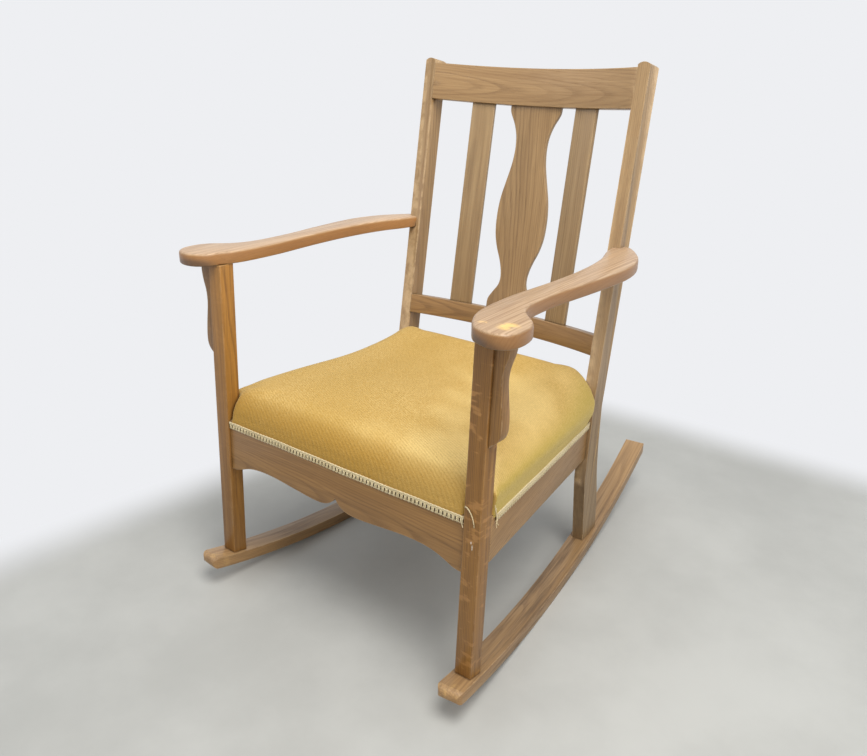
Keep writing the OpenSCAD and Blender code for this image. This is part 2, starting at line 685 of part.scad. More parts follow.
// The cushion: a crowned form with swelling sides, higher towards the back
cushion_front = rail_setback - gimp_t;
cushion_mid = (cushion_front + back_out) / 2;
cushion_half = (back_out - cushion_front) / 2;
corner_power = 9;
cushion_points = 40;
cushion_side_rings = 4;
cushion_top_rings = 7;
// Roundness of the crown towards the edge and over the top, how late it rises towards the
// back, how close its rings lie at the edge, and the share of a ring's step left open in
// the middle of the top
crown_in = 2.0;
crown_over = 2.7;
crown_rise = 2.0;
crown_bunch = 1.4;
crown_end_share = 0.4;
function base_point(i) = let(
    a = 360 * i / cushion_points + 180 / cushion_points,
    r = pow(pow(abs(cos(a)), corner_power) + pow(abs(sin(a)), corner_power), -1 / corner_power),
    y = cushion_mid + r * sin(a) * cushion_half
) [r * cos(a) * seat_half(y), y];
cushion_base = [for (i = [0 : cushion_points - 1]) base_point(i)];
function cushion_ring(spread, height, share) = [
    for (p = cushion_base) let(
        x = p[0] * spread,
        y = cushion_mid + (p[1] - cushion_mid) * spread,
        along = min(1, max(0, (y - cushion_front) / (2 * cushion_half))),
        crown = crown_front + (crown_back - crown_front) * pow(along, crown_rise)
    ) [x, y, height + share * (crown - swell_h)]
];
function cushion_rings() = let(full = 1 + cushion_swell / cushion_half) concat(
    [for (k = [0 : cushion_side_rings]) let(t = k / cushion_side_rings)
        cushion_ring(1 + (full - 1) * sin(90 * t), seat_h + t * swell_h, 0)],
    [for (k = [1 : cushion_top_rings]) let(t = pow(k / (cushion_top_rings + crown_end_share), crown_bunch))
        cushion_ring(full * (1 - t), seat_h + swell_h,
            pow(1 - pow(1 - t, crown_in), 1 / crown_over))]
);
// Room that the legs and posts take out of the cushion
module wood_room(gap) {
    for (side = SIDES) to_side(side) chair() union() {
        translate([frame_w / 2 - leg_w - gap, -far, 0]) cube([far, far + leg_d + gap, 3 * far]);
        translate([0, seat_d, bend_h]) rotate([-recline, 0, 0])
            translate([bow_half - gap, -gap, -far]) cube([far, far, 3 * far]);
        translate([bow_half - gap, seat_d - gap, 0]) cube([far, far, 3 * far]);
    }
}
module stuffing_solid() chair() translate([0, 0, burlap_z + web_t]) linear_extrude(stuffing_h)
    polygon(both_sides(seat_plan(cover_t)));
module seat_stuffing() color(cream) stuffing_solid();
module seat_cover() color(gold) difference() {
    chair() skin(cushion_rings());
    wood_room(soft_gap);
    burlap_solid();
    stuffing_solid();
}

// Gimp braid along the top of each rail's outer face
gimp_low = seat_h - gimp_drop - gimp_h;
module gimp_front() color(cream) chair()
    translate([leg_w - frame_w / 2 + soft_gap, rail_setback - gimp_t, gimp_low])
    cube([frame_w - 2 * leg_w - 2 * soft_gap, gimp_t, gimp_h]);
module gimp_back() color(cream) chair() translate([soft_gap - bow_half, back_out, gimp_low])
    cube([2 * bow_half - 2 * soft_gap, gimp_t, gimp_h]);
module gimp_side(side) color(cream) to_side(side) intersection() {
    side_frame() translate([0, -over, gimp_low - rail_low]) cube([gimp_t, side_len + 2 * over, gimp_h]);
    chair() translate([0, leg_d + soft_gap, 0]) cube([frame_w, side_run - 2 * soft_gap, far]);
}

rocker_body("left");  // rocker_left
rocker_body("right");  // rocker_right
front_leg("left");  // front_leg_left
front_leg("right");  // front_leg_right
back_post("left");  // back_post_left
back_post("right");  // back_post_right
front_seat_rail();
side_seat_rail("left");  // side_seat_rail_left
side_seat_rail("right");  // side_seat_rail_right
back_seat_rail();
crest_rail();
lower_back_rail();
back_slat("left");  // back_slat_left
back_slat("right");  // back_slat_right
center_splat();
arm("left");  // arm_left
arm("right");  // arm_right
arm_corbel("left");  // arm_corbel_left
arm_corbel("right");  // arm_corbel_right
front_block("left");  // corner_block_front_left
front_block("right");  // corner_block_front_right
back_block("left");  // corner_block_back_left
back_block("right");  // corner_block_back_right
cleat_front();  // web_cleat_front
cleat_back();  // web_cleat_back
cleat_side("left");  // web_cleat_left
cleat_side("right");  // web_cleat_right
webbing_long(1);  // webbing_long_1
webbing_long(2);  // webbing_long_2
webbing_long(3);  // webbing_long_3
webbing_cross(1);  // webbing_cross_1
webbing_cross(2);  // webbing_cross_2
webbing_cross(3);  // webbing_cross_3
seat_spring(1);  // seat_spring_1
seat_spring(2);  // seat_spring_2
seat_spring(3);  // seat_spring_3
seat_spring(4);  // seat_spring_4
seat_spring(5);  // seat_spring_5
seat_spring(6);  // seat_spring_6
seat_spring(7);  // seat_spring_7
seat_spring(8);  // seat_spring_8
seat_spring(9);  // seat_spring_9
burlap();
seat_stuffing();
seat_cover();
gimp_front();
gimp_back();
gimp_side("left");  // gimp_left
gimp_side("right");  // gimp_right
rocker_pin("left", "front");  // rocker_pin_front_left
rocker_pin("right", "front");  // rocker_pin_front_right
rocker_pin("left", "back");  // rocker_pin_back_left
rocker_pin("right", "back");  // rocker_pin_back_right
arm_pin("left");  // arm_pin_left
arm_pin("right");  // arm_pin_right
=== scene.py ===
# Looks of the oak rocking armchair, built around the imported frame.
# Metres, Z up, the chair faces -Y, +X is the sitter's left.
import math

import bmesh
import bpy
from mathutils import Matrix, Vector, noise


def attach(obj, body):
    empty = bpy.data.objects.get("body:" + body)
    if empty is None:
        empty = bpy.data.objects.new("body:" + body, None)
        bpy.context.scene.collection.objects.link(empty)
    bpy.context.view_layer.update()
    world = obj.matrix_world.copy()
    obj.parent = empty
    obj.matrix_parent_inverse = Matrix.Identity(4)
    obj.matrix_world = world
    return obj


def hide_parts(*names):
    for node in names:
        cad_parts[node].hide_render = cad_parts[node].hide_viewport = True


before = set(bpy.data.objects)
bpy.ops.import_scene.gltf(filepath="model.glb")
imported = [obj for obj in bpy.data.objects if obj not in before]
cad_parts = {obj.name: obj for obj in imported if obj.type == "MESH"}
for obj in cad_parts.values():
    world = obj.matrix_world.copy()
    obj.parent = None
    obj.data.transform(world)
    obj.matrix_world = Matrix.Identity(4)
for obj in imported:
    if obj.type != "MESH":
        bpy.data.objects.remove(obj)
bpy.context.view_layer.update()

SIDES = {"left": 1, "right": -1}

# Driving sizes of the chair, the same as the frame's
LEAN = math.radians(3.5)
RECLINE = math.radians(6.6)
ARM_PITCH = math.radians(2.9)
FRAME_W, BACK_W = 0.600, 0.497
SEAT_D, SEAT_H = 0.465, 0.286
LEG_W, LEG_D = 0.031, 0.030
POST_T, POST_FOOT_D = 0.024, 0.056
KICK_D, BEND_H = 0.025, 0.327
ROCKER_R, ROCKER_T = 1.520, 0.022
ROCKER_NOSE, NOSE_CORNER, ROCKER_TAIL, REST_D = 0.048, 0.011, 0.284, 0.317
ARM_H, ARM_T = 0.578, 0.022
RAIL_T, RAIL_H, RAIL_SETBACK, SIDE_INSET = 0.020, 0.081, 0.005, 0.006
APRON_EXTRA, APRON_RISE = 0.018, 0.020
BACK_RAIL_T, BACK_RAIL_IN, BACK_BOW = 0.020, 0.006, 0.044
GIMP_H, GIMP_DROP, GIMP_PITCH = 0.014, 0.001, 0.0078
WEB_PITCH = 0.112
CLEAT_UP = 0.013
SPRING_R, SPRING_WAIST, SPRING_WIRE, SPRING_TURNS = 0.032, 0.022, 0.004, 4

# Values that follow from them
leg_x = (FRAME_W - LEG_W) / 2
post_x = (BACK_W - POST_T) / 2
foot_y = SEAT_D + KICK_D
toe = math.atan((leg_x - post_x) / (foot_y + (POST_FOOT_D - LEG_D) / 2))
rest_l = (REST_D - LEG_D / 2) / math.cos(toe)
nose_l = (ROCKER_NOSE + LEG_D / 2) / math.cos(toe)
tail_l = (foot_y + POST_FOOT_D + ROCKER_TAIL - LEG_D / 2) / math.cos(toe)
foot_z = ROCKER_R - math.sqrt((ROCKER_R - ROCKER_T) ** 2 - rest_l ** 2)
mid_y = LEG_D / 2 + ((tail_l - nose_l) * math.cos(toe)
                     + NOSE_CORNER * (math.cos(toe) + math.sin(toe) - 1)) / 2
side_angle = math.atan(((FRAME_W - BACK_W) / 2 + SIDE_INSET) / (SEAT_D - LEG_D))
back_out = SEAT_D + BACK_RAIL_IN + BACK_RAIL_T
bow_half = BACK_W / 2 - POST_T
cleat_z = SEAT_H - RAIL_H - APRON_EXTRA + APRON_RISE + CLEAT_UP


def move(x, y, z):
    return Matrix.Translation((x, y, z))


def turn(angle, axis):
    return Matrix.Rotation(angle, 4, axis)


# Frames of the leaning chair, its reclined back, its arms and a rocker
CHAIR = move(0, -mid_y, foot_z) @ turn(-LEAN, "X")
BACK = CHAIR @ move(0, SEAT_D, BEND_H) @ turn(-RECLINE, "X")
ARM = CHAIR @ move(0, 0, ARM_H) @ turn(ARM_PITCH, "X")
ROCKER = move(leg_x, LEG_D / 2 - mid_y, 0) @ turn(toe, "Z")


def seat_half(y):
    """Half the seat frame's width at a depth."""
    return FRAME_W / 2 - (y - LEG_D) * math.tan(side_angle)


def share_of(value, low, high):
    """How far value has come from low to high, held between 0 and 1."""
    return max(0.0, min(1.0, (value - low) / (high - low)))


def srgb(r, g, b):
    """A colour as a picture holds it, from 0 to 255, made linear."""
    def linear(c):
        return c / 12.92 if c <= 0.04045 else ((c + 0.055) / 1.055) ** 2.4
    return (linear(r / 255), linear(g / 255), linear(b / 255), 1.0)


# Materials

class Shader:
    """The node tree of a material or a world, with short ways to add nodes."""

    def __init__(self, owner):
        self.owner = owner
        owner.use_nodes = True
        self.tree = owner.node_tree
        self.tree.nodes.clear()

    def node(self, kind, inputs=None, **settings):
        made = self.tree.nodes.new(kind)
        for key, value in settings.items():
            setattr(made, key, value)
        for key, value in (inputs or {}).items():
            if isinstance(value, bpy.types.NodeSocket):
                self.tree.links.new(value, made.inputs[key])
            else:
                made.inputs[key].default_value = value
        return made

    def math(self, operation, a, b=0.0, clamp=False):
        made = self.node("ShaderNodeMath", {0: a, 1: b}, operation=operation, use_clamp=clamp)
        return made.outputs[0]

    def plus(self, a, b, clamp=False):
        return self.math("ADD", a, b, clamp)

    def minus(self, a, b):
        return self.math("SUBTRACT", a, b)

    def times(self, a, b):
        return self.math("MULTIPLY", a, b)

    def vector(self, operation, a, b=(0.0, 0.0, 0.0)):
        made = self.node("ShaderNodeVectorMath", {0: a, 1: b}, operation=operation)
        return made.outputs[1 if operation in ("DOT_PRODUCT", "LENGTH") else 0]

    def scaled(self, vector, scale):
        return self.vector("MULTIPLY", vector, scale)

    def split(self, vector):
        return self.node("ShaderNodeSeparateXYZ", {0: vector}).outputs

    def joined(self, x, y, z):
        return self.node("ShaderNodeCombineXYZ", {0: x, 1: y, 2: z}).outputs[0]

    def mix(self, factor, a, b, blend="MIX"):
        made = self.node("ShaderNodeMix", {0: factor, 6: a, 7: b}, data_type="RGBA",
                         blend_type=blend)
        return made.outputs[2]

    def step(self, value, low, high, a=0.0, b=1.0):
        """Goes smoothly from a, where value is low, to b, where it is high."""
        made = self.node("ShaderNodeMapRange", {0: value, 1: low, 2: high, 3: a, 4: b},
                         interpolation_type="SMOOTHSTEP")
        return made.outputs[0]

    def noise(self, vector, scale=1.0, detail=2.0, rough=0.5, colour=False):
        made = self.node("ShaderNodeTexNoise", {"Vector": vector, "Scale": scale,
                                                "Detail": detail, "Roughness": rough})
        return made.outputs["Color" if colour else "Fac"]

    def attribute(self, name):
        return self.node("ShaderNodeAttribute", attribute_name=name).outputs["Vector"]

    def place(self):
        return self.node("ShaderNodeTexCoord").outputs["Object"]

    def normal(self):
        return self.node("ShaderNodeTexCoord").outputs["Normal"]

    def near(self, place, centre, radii):
        """1 inside the middle of an ellipsoid, falling to 0 at its surface."""
        off = self.vector("DIVIDE", self.vector("SUBTRACT", place, tuple(centre)), radii)
        return self.step(self.vector("LENGTH", off), 1.0, 0.4)

    def bump(self, height, distance, strength=1.0):
        return self.node("ShaderNodeBump", {"Height": height, "Distance": distance,
                                            "Strength": strength}).outputs[0]

    def surface(self, **inputs):
        """Ends a material in one principled shader, and gives the material."""
        shader = self.node("ShaderNodeBsdfPrincipled",
                           {k.replace("_", " "): v for k, v in inputs.items()})
        self.node("ShaderNodeOutputMaterial", {0: shader.outputs[0]})
        return self.owner

    def background_ray(self):
        """1 for a ray that shows the background: straight, mirrored or through glass."""
        path = self.node("ShaderNodeLightPath").outputs
        bent = self.math("MAXIMUM", path["Is Glossy Ray"], path["Is Transmission Ray"])
        return self.math("MAXIMUM", path["Is Camera Ray"], bent)

    def blend(self, factor, a, b):
        """From shader a to shader b."""
        return self.node("ShaderNodeMixShader",
                         {0: factor, 1: a.outputs[0], 2: b.outputs[0]}).outputs[0]


def new_shader(name):
    return Shader(bpy.data.materials.new(name))


# Colours of the oak. The first three are pairs: a grey board and a warm one
LIGHT_WOOD = srgb(180, 153, 114), srgb(178, 126, 58)
DARK_WOOD = srgb(138, 110, 76), srgb(116, 77, 31)
DEEP_WOOD = srgb(102, 77, 50), srgb(86, 53, 23)
# Faded tops, whose colours also carry a painted sheen
FADED_SHEEN_LIGHT, FADED_SHEEN_DARK = srgb(220, 191, 160), srgb(172, 138, 110)
# Ray fleck, and the brown of the sides, which also carries painted shade
RAY_FLAKE, BROWN_SHADED_RIM = srgb(204, 148, 84), srgb(156, 106, 58)
# A rubbed edge's colour, which also stands for a painted highlight
RUBBED_HIGHLIT_EDGE, BARE_WOOD = srgb(222, 190, 146), srgb(230, 188, 116)
# Grime; the pads' grime and the corners' dirt also carry painted shade
GRIME, PAD_GRIME_AND_SHADE, CORNER_DIRT_AND_SHADE = srgb(84, 66, 50), srgb(84, 66, 54), srgb(62, 44, 28)
CHIP, NAIL_HOLE = srgb(232, 222, 206), srgb(60, 42, 30)
YELLOW_WOOD, DULL_YELLOW_WOOD = srgb(244, 204, 126), srgb(240, 200, 136)

# The oak's figure: a year's ring, the log's taper, and the radius it is unrolled at
RING_PITCH, LOG_TAPER, LOG_RADIUS = 0.0032, 0.012, 0.09
# How far the rubbed edges with their painted highlight reach, and the dirt and painted shade in
# corners
EDGE_REACH, CORNER_REACH = 0.0035, 0.006

# Marks of wear, dirt and painted shade on the oak: where, how large, what colour, how strong and
# how broken up
MARKS = (
    # The pad of the left arm, rubbed to bare yellow wood
    (ARM @ Vector((0.334, -0.020, ARM_T)), (0.019, 0.020, 0.010), YELLOW_WOOD, 0.8, 0.38),
    (ARM @ Vector((0.300, -0.026, ARM_T)), (0.012, 0.008, 0.008), DULL_YELLOW_WOOD, 0.7, 0.38),
    # Grime and painted shade on the front of both pads
    (ARM @ Vector((0.290, -0.045, 0.0)), (0.075, 0.055, 0.018), PAD_GRIME_AND_SHADE, 0.75, 0.28),
    (ARM @ Vector((-0.300, -0.034, 0.0)), (0.065, 0.045, 0.018), PAD_GRIME_AND_SHADE, 0.7, 0.28),
    # Two chips on the left front leg
    (CHAIR @ Vector((0.2872, 0, 0.2411)), (0.0016, 0.002, 0.006), CHIP, 0.9, 0.3),
    (CHAIR @ Vector((0.2849, 0, 0.2487)), (0.0014, 0.002, 0.003), CHIP, 0.9, 0.3),
    # A nail hole in the left post above the arm
    (BACK @ Vector((0.232, 0, 0.284)), (0.003, 0.003, 0.003), NAIL_HOLE, 1.0, 0.0),
)


def log_figure(s, grain):
    """What growth leaves in oak: a slow drift, early wood, pores, streaks and broad bands."""
    slow = s.noise(s.scaled(grain, (7, 7, 1.7)), detail=3, colour=True)
    sway = s.scaled(s.vector("SUBTRACT", slow, (0.5, 0.5, 0.5)), (0.02, 0.02, 0))
    x, y, z = s.split(s.vector("ADD", grain, sway))
    radius = s.math("SQRT", s.plus(s.times(x, x), s.times(y, y)))
    ring = s.math("DIVIDE", s.plus(radius, s.times(z, LOG_TAPER)), RING_PITCH)
    phase = s.math("FRACT", ring)
    year = s.node("ShaderNodeTexWhiteNoise", {"W": s.math("FLOOR", ring)},
                  noise_dimensions="1D").outputs["Value"]
    early = s.times(s.step(phase, 0.0, 0.1), s.step(phase, 0.62, 0.16))
    early = s.times(early, s.step(year, 0.0, 1.0, 0.35, 1.0))
    log = s.joined(s.times(s.math("ARCTAN2", y, x), LOG_RADIUS), radius, z)
    pores = s.step(s.noise(s.scaled(log, (900, 900, 30)), detail=2), 0.55, 0.7)
    pores = s.times(pores, s.step(early, 0.0, 0.7, 0.25, 1.0))
    streaks = s.noise(s.scaled(log, (300, 300, 4)), detail=4, rough=0.6)
    broad = s.noise(s.scaled(log, (40, 40, 2.4)), detail=3, rough=0.55)
    return slow, early, pores, streaks, broad


def oak_material(name):
    """Ring-porous oak, drawn from three attributes of a piece. grain is the place in the log,
    whose heart is the z axis. finish holds tone, wear and dirt; on some pieces the tone carries
    painted light. cut holds warmth, how much ray fleck the cut shows, and how far its tops have
    faded and carry a painted sheen, with painted shade on the sides below them."""
    s = new_shader(name)
    grain = s.attribute("grain")
    tone, worn, dirt = s.split(s.attribute("finish"))
    warm, fleck, faded = s.split(s.attribute("cut"))
    place = s.place()
    up = s.split(s.normal())[2]
    slow, early, pores, streaks, broad = log_figure(s, grain)

    light, dark, deep = (s.mix(warm, *pair) for pair in (LIGHT_WOOD, DARK_WOOD, DEEP_WOOD))
    colour = s.mix(s.step(streaks, 0.32, 0.74, 0.05, 0.5), light, dark)
    colour = s.mix(s.times(early, 0.4), colour, deep)
    colour = s.mix(s.step(broad, 0.36, 0.7, 0.0, 0.5), colour, dark)
    colour = s.mix(s.times(pores, 0.4), colour, deep)
    flakes = s.vector("ADD", s.scaled(place, (30, 30, 88)), s.scaled(slow, (3.0, 3.0, 5.0)))
    flakes = s.times(s.step(s.noise(flakes, detail=2, rough=0.6), 0.56, 0.68), fleck)
    colour = s.mix(s.times(flakes, 0.5), colour, RAY_FLAKE)
    # Tops fade and lose their finish and carry a painted sheen; the edges below them stay brown
    # and carry painted shade
    top = s.times(s.times(s.step(up, 0.35, 0.95), faded), 0.62)
    colour = s.mix(top, colour, s.mix(s.step(streaks, 0.34, 0.66), FADED_SHEEN_LIGHT, FADED_SHEEN_DARK))
    rim = s.times(s.step(s.math("ABSOLUTE", up), 0.8, 0.25), faded)
    colour = s.mix(s.times(rim, 0.72), colour, BROWN_SHADED_RIM)
    tint = s.step(tone, -1.0, 1.0, 0.48, 1.46)
    colour = s.mix(1.0, colour, s.joined(tint, tint, tint), "MULTIPLY")
    # Edges where the finish is rubbed off, also lit with a painted highlight, patches where it is
    # rubbed off, and grime where it gathers
    true_normal = s.node("ShaderNodeNewGeometry").outputs["True Normal"]
    rounded = s.node("ShaderNodeBevel", {"Radius": EDGE_REACH}, samples=6).outputs[0]
    edge = s.step(s.vector("DOT_PRODUCT", rounded, true_normal), 0.995, 0.86)
    patch = s.noise(s.scaled(place, (40, 40, 40)), detail=5, rough=0.65)
    rubbed_and_highlit = s.times(edge, s.step(patch, 0.36, 0.6))
    colour = s.mix(s.times(rubbed_and_highlit, 0.4), colour, RUBBED_HIGHLIT_EDGE)
    bare = s.times(s.step(s.plus(patch, s.times(worn, 0.16)), 0.6, 0.7),
                   s.step(worn, 0.1, 0.9))
    colour = s.mix(s.times(bare, 0.6), colour, BARE_WOOD)
    grime = s.noise(s.scaled(grain, (120, 120, 7)), detail=4, rough=0.6)
    grime = s.times(s.step(grime, 0.44, 0.68), dirt)
    colour = s.mix(s.times(grime, 0.7), colour, GRIME)
    for centre, radii, paint, strength, broken in MARKS:
        mark = s.times(s.near(place, centre, radii), s.step(patch, broken, broken + 0.18))
        colour = s.mix(s.times(mark, strength), colour, paint)
    # Dirt and painted shade in the corners where pieces meet, from ambient occlusion
    open_air = s.node("ShaderNodeAmbientOcclusion", {"Distance": CORNER_REACH},
                      samples=6).outputs["AO"]
    colour = s.mix(s.step(open_air, 0.8, 0.35, 0.0, 0.6), colour, CORNER_DIRT_AND_SHADE)
    gloss = s.step(s.plus(s.times(streaks, 0.6), s.times(pores, 0.5)), 0.2, 0.9, 0.34, 0.58)
    gloss = s.plus(gloss, s.times(s.plus(bare, grime), 0.2), clamp=True)
    height = s.minus(s.times(patch, 0.5), s.times(pores, 0.7))
    return s.surface(Base_Color=colour, Roughness=gloss, Normal=s.bump(height, 0.0003, 0.6),
                     Specular_IOR_Level=0.5)


def raw_wood_material(name, light, dark):
    """Unfinished wood, streaked and blotched."""
    s = new_shader(name)
    place = s.place()
    streaks = s.noise(s.scaled(place, (60, 60, 14)), scale=4.0, detail=5, rough=0.65)
    blotch = s.noise(place, scale=14.0, detail=3)
    colour = s.mix(s.step(streaks, 0.3, 0.7), light, dark)
    colour = s.mix(s.step(blotch, 0.45, 0.75, 0.0, 0.4), colour, dark)
    return s.surface(Base_Color=colour, Roughness=0.78, Normal=s.bump(streaks, 0.0004))


# The plush: how far its ribs are turned from the seat's width, their pitch, its loops to
# the metre, and its colours
RIB_TURN, RIB_PITCH, LOOP_COUNT = math.radians(24), 0.0042, 460.0
PILE_LOW, PILE_HIGH, PILE_BRUISED = srgb(198, 160, 86), srgb(224, 190, 120), srgb(196, 158, 80)
# The pale colour is partly a painted pool of light
PILE_PALE_LIT, PILE_SHEEN = srgb(250, 220, 148), srgb(250, 232, 184)
# The sides' colour: the pile's direction and painted shade; the front's colour: painted shade
PILE_SIDE_NAP_AND_SHADE, PILE_FRONT_SHADE = srgb(180, 164, 76), srgb(164, 120, 36)
PILE_GROOVE, PILE_GROUND = srgb(160, 122, 52), srgb(140, 104, 44)


def plush_material(name):
    """Mustard plush: short pile woven in fine broken ribs, with a bruised nap and painted light
    and shade.
    """
    s = new_shader(name)
    place = s.place()
    turned = s.node("ShaderNodeVectorRotate", {"Vector": place, "Angle": RIB_TURN},
                    rotation_type="Z_AXIS").outputs[0]
    nap = s.noise(s.scaled(turned, (190, 520, 420)), detail=3, rough=0.6)
    over_ribs = s.times(s.split(turned)[1], math.tau / RIB_PITCH)
    ribs = s.math("SINE", s.plus(over_ribs, s.times(nap, 4.0)))
    loops = s.node("ShaderNodeTexVoronoi", {"Vector": s.scaled(turned, (0.55, 1, 1)),
                                            "Scale": LOOP_COUNT}).outputs["Distance"]
    bruise = s.noise(s.scaled(place, (6, 4, 5)), detail=3, rough=0.55)
    normal = s.split(s.normal())
    side = s.step(s.math("ABSOLUTE", normal[0]), 0.45, 0.95)
    front = s.step(normal[1], -0.3, -0.9)
    colour = s.mix(s.step(nap, 0.3, 0.7), PILE_LOW, PILE_HIGH)
    colour = s.mix(s.step(bruise, 0.35, 0.7, 0.0, 0.45), colour, PILE_BRUISED)
    # The cover is paler on the left side of the seat, in patches: partly a painted pool of light
    pale_and_lit = s.noise(s.scaled(turned, (5, 9, 6)), detail=2)
    pale_and_lit = s.plus(pale_and_lit, s.times(s.split(place)[0], 0.9))
    pale_and_lit = s.times(s.step(pale_and_lit, 0.5, 0.82, 0.0, 0.55), s.minus(1.0, side))
    colour = s.mix(pale_and_lit, colour, PILE_PALE_LIT)
    colour = s.mix(s.step(ribs, -0.2, 1.0, 0.0, 0.22), colour, PILE_GROOVE)
    # Side faces: the pile's direction, and painted shade
    colour = s.mix(s.times(side, 0.5), colour, PILE_SIDE_NAP_AND_SHADE)
    # Front faces: painted shade
    colour = s.mix(s.times(front, 0.66), colour, PILE_FRONT_SHADE)
    colour = s.mix(s.step(loops, 0.1, 0.6, 0.2, 0.0), colour, PILE_GROUND)
    height = s.plus(s.times(nap, 0.7), s.times(loops, 0.5))
    height = s.minus(height, s.times(ribs, 0.15))
    return s.surface(Base_Color=colour, Roughness=0.86, Normal=s.bump(height, 0.001, 0.8),
                     Sheen_Weight=0.4, Sheen_Roughness=0.4, Sheen_Tint=PILE_SHEEN,
                     Specular_IOR_Level=0.2)


def thread_material(name, light, dark, scale):
    """Soft twisted thread, soiled in places."""
    s = new_shader(name)
    place = s.place()
    yarn = s.noise(s.scaled(place, (scale, scale, scale * 1.4)), detail=3, rough=0.6)
    soil = s.noise(place, scale=26.0, detail=3)
    colour = s.mix(s.step(yarn, 0.3, 0.72), dark, light)
    colour = s.mix(s.step(soil, 0.5, 0.75, 0.0, 0.4), colour, dark)
    return s.surface(Base_Color=colour, Roughness=0.88, Normal=s.bump(yarn, 0.0004),
                     Sheen_Weight=0.2, Sheen_Roughness=0.5, Specular_IOR_Level=0.2)


def weave_material(name, light, dark, pitch, distance):
    """Plain weave: two sets of threads, over and under by turns."""
    s = new_shader(name)
    place = s.place()
    x, y, z = s.split(place)
    across, along = (s.math("SINE", s.times(v, math.tau / pitch)) for v in (x, y))
    over = s.math("ABSOLUTE", s.times(across, along))
    yarn = s.noise(place, scale=900.0, detail=3)
    height = s.plus(s.times(over, 0.8), s.times(yarn, 0.5))
    soil = s.noise(place, scale=18.0, detail=4)
    colour = s.mix(s.step(height, 0.1, 1.0), dark, light)
    colour = s.mix(s.step(soil, 0.45, 0.75, 0.0, 0.45), colour, dark)
    return s.surface(Base_Color=colour, Roughness=0.9, Normal=s.bump(height, distance))


def wire_material(name):
    """Dull steel wire with spots of rust."""
    s = new_shader(name)
    spots = s.noise(s.place(), scale=160.0, detail=5, rough=0.65)
    rust = s.step(spots, 0.52, 0.68)
    colour = s.mix(rust, srgb(128, 126, 124), srgb(112, 72, 46))
    return s.surface(Base_Color=colour, Metallic=s.step(rust, 0.0, 1.0, 0.9, 0.2),
                     Roughness=s.step(rust, 0.0, 1.0, 0.38, 0.8),
                     Normal=s.bump(spots, 0.0002))


OAK = oak_material("oak_finish")
INNER = raw_wood_material("inner_wood_finish", srgb(178, 140, 98), srgb(112, 78, 48))
PLUSH = plush_material("mustard_plush")
BRAID = thread_material("cream_braid", srgb(244, 232, 196), srgb(196, 172, 124), 900.0)
JUTE = weave_material("jute_webbing", srgb(186, 156, 108), srgb(104, 80, 50), 0.004, 0.0007)
BURLAP = weave_material("burlap_weave", srgb(176, 146, 100), srgb(92, 70, 44), 0.003, 0.0006)
WIRE = wire_material("spring_wire_finish")


# Making pieces

def add_object(name, data):
    made = bpy.data.objects.new(name, data)
    bpy.context.scene.collection.objects.link(made)
    return made


def mesh_of(bm, name):
    """A new mesh of a form that is finished."""
    mesh = bpy.data.meshes.new(name)
    bm.to_mesh(mesh)
    bm.free()
    return mesh


def skin(bm, rings):
    """Joins rings with the same number of corners into a closed solid."""
    for low, high in zip(rings, rings[1:]):
        for i in range(len(low)):
            j = (i + 1) % len(low)
            bm.faces.new((low[i], low[j], high[j], high[i]))
    bm.faces.new(rings[0][::-1])
    bm.faces.new(rings[-1])


def piece(name, mesh, material, replaced, smooth_angle=None):
    """A new object that rides on the chair and stands for the replaced nodes."""
    made = add_object(name, mesh)
    mesh.materials.clear()
    mesh.materials.append(material)
    for polygon in mesh.polygons:
        polygon.use_smooth = True
    if smooth_angle is not None:
        mesh.set_sharp_from_angle(angle=smooth_angle)
    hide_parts(*replaced)
    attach(made, "root")
    return made


# Corners closer than the first are one, faces within the second are one flat face, and
# edges over the third are eased
WELD_GAP, FLAT_ANGLE, EASED_ANGLE = 2e-5, math.radians(0.4), math.radians(38)


def welded(node):
    """A copy of a node's mesh with its flat faces whole and its corners joined."""
    bm = bmesh.new()
    bm.from_mesh(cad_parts[node].data)
    bmesh.ops.remove_doubles(bm, verts=bm.verts, dist=WELD_GAP)
    bmesh.ops.dissolve_limit(bm, angle_limit=FLAT_ANGLE, verts=bm.verts, edges=bm.edges)
    return bm


def ease_edges(bm, width):
    """Rounds the sharp convex edges of a wooden piece."""
    edges = [e for e in bm.edges if len(e.link_faces) == 2 and e.is_convex
             and e.calc_face_angle(0) > EASED_ANGLE]
    bmesh.ops.bevel(bm, geom=edges, offset=width, offset_type="OFFSET", segments=3,
                    profile=0.5, affect="EDGES", clamp_overlap=True)


def grain_of(base, along):
    """Into the frame of a board whose grain runs along an axis of its base frame."""
    turned = {"x": turn(math.pi / 2, "Y"), "y": turn(-math.pi / 2, "X"), "z": Matrix.Identity(4)}
    return (base @ turned[along]).inverted()


def set_vectors(mesh, name, values):
    data = mesh.attributes.new(name, "FLOAT_VECTOR", "POINT").data
    data.foreach_set("vector", [c for v in values for c in v])


def oak_piece(node, place_in_log, finish, cut=(0.3, 0.1, 0.15), width=0.0014):
    """Stands for an oak node: its form with eased edges, its place in the log and its finish."""
    bm = welded(node)
    if width:
        ease_edges(bm, width)
    mesh = mesh_of(bm, "oak_" + node)
    points = [v.co.copy() for v in mesh.vertices]
    set_vectors(mesh, "grain", [place_in_log(p) for p in points])
    set_vectors(mesh, "finish", [finish(p) for p in points])
    set_vectors(mesh, "cut", [cut] * len(points))
    piece("oak_" + node, mesh, OAK, [node], math.radians(32))


# How far apart the boards lie along the log, so that no two show the same figure
LOG_STEP = 3.7


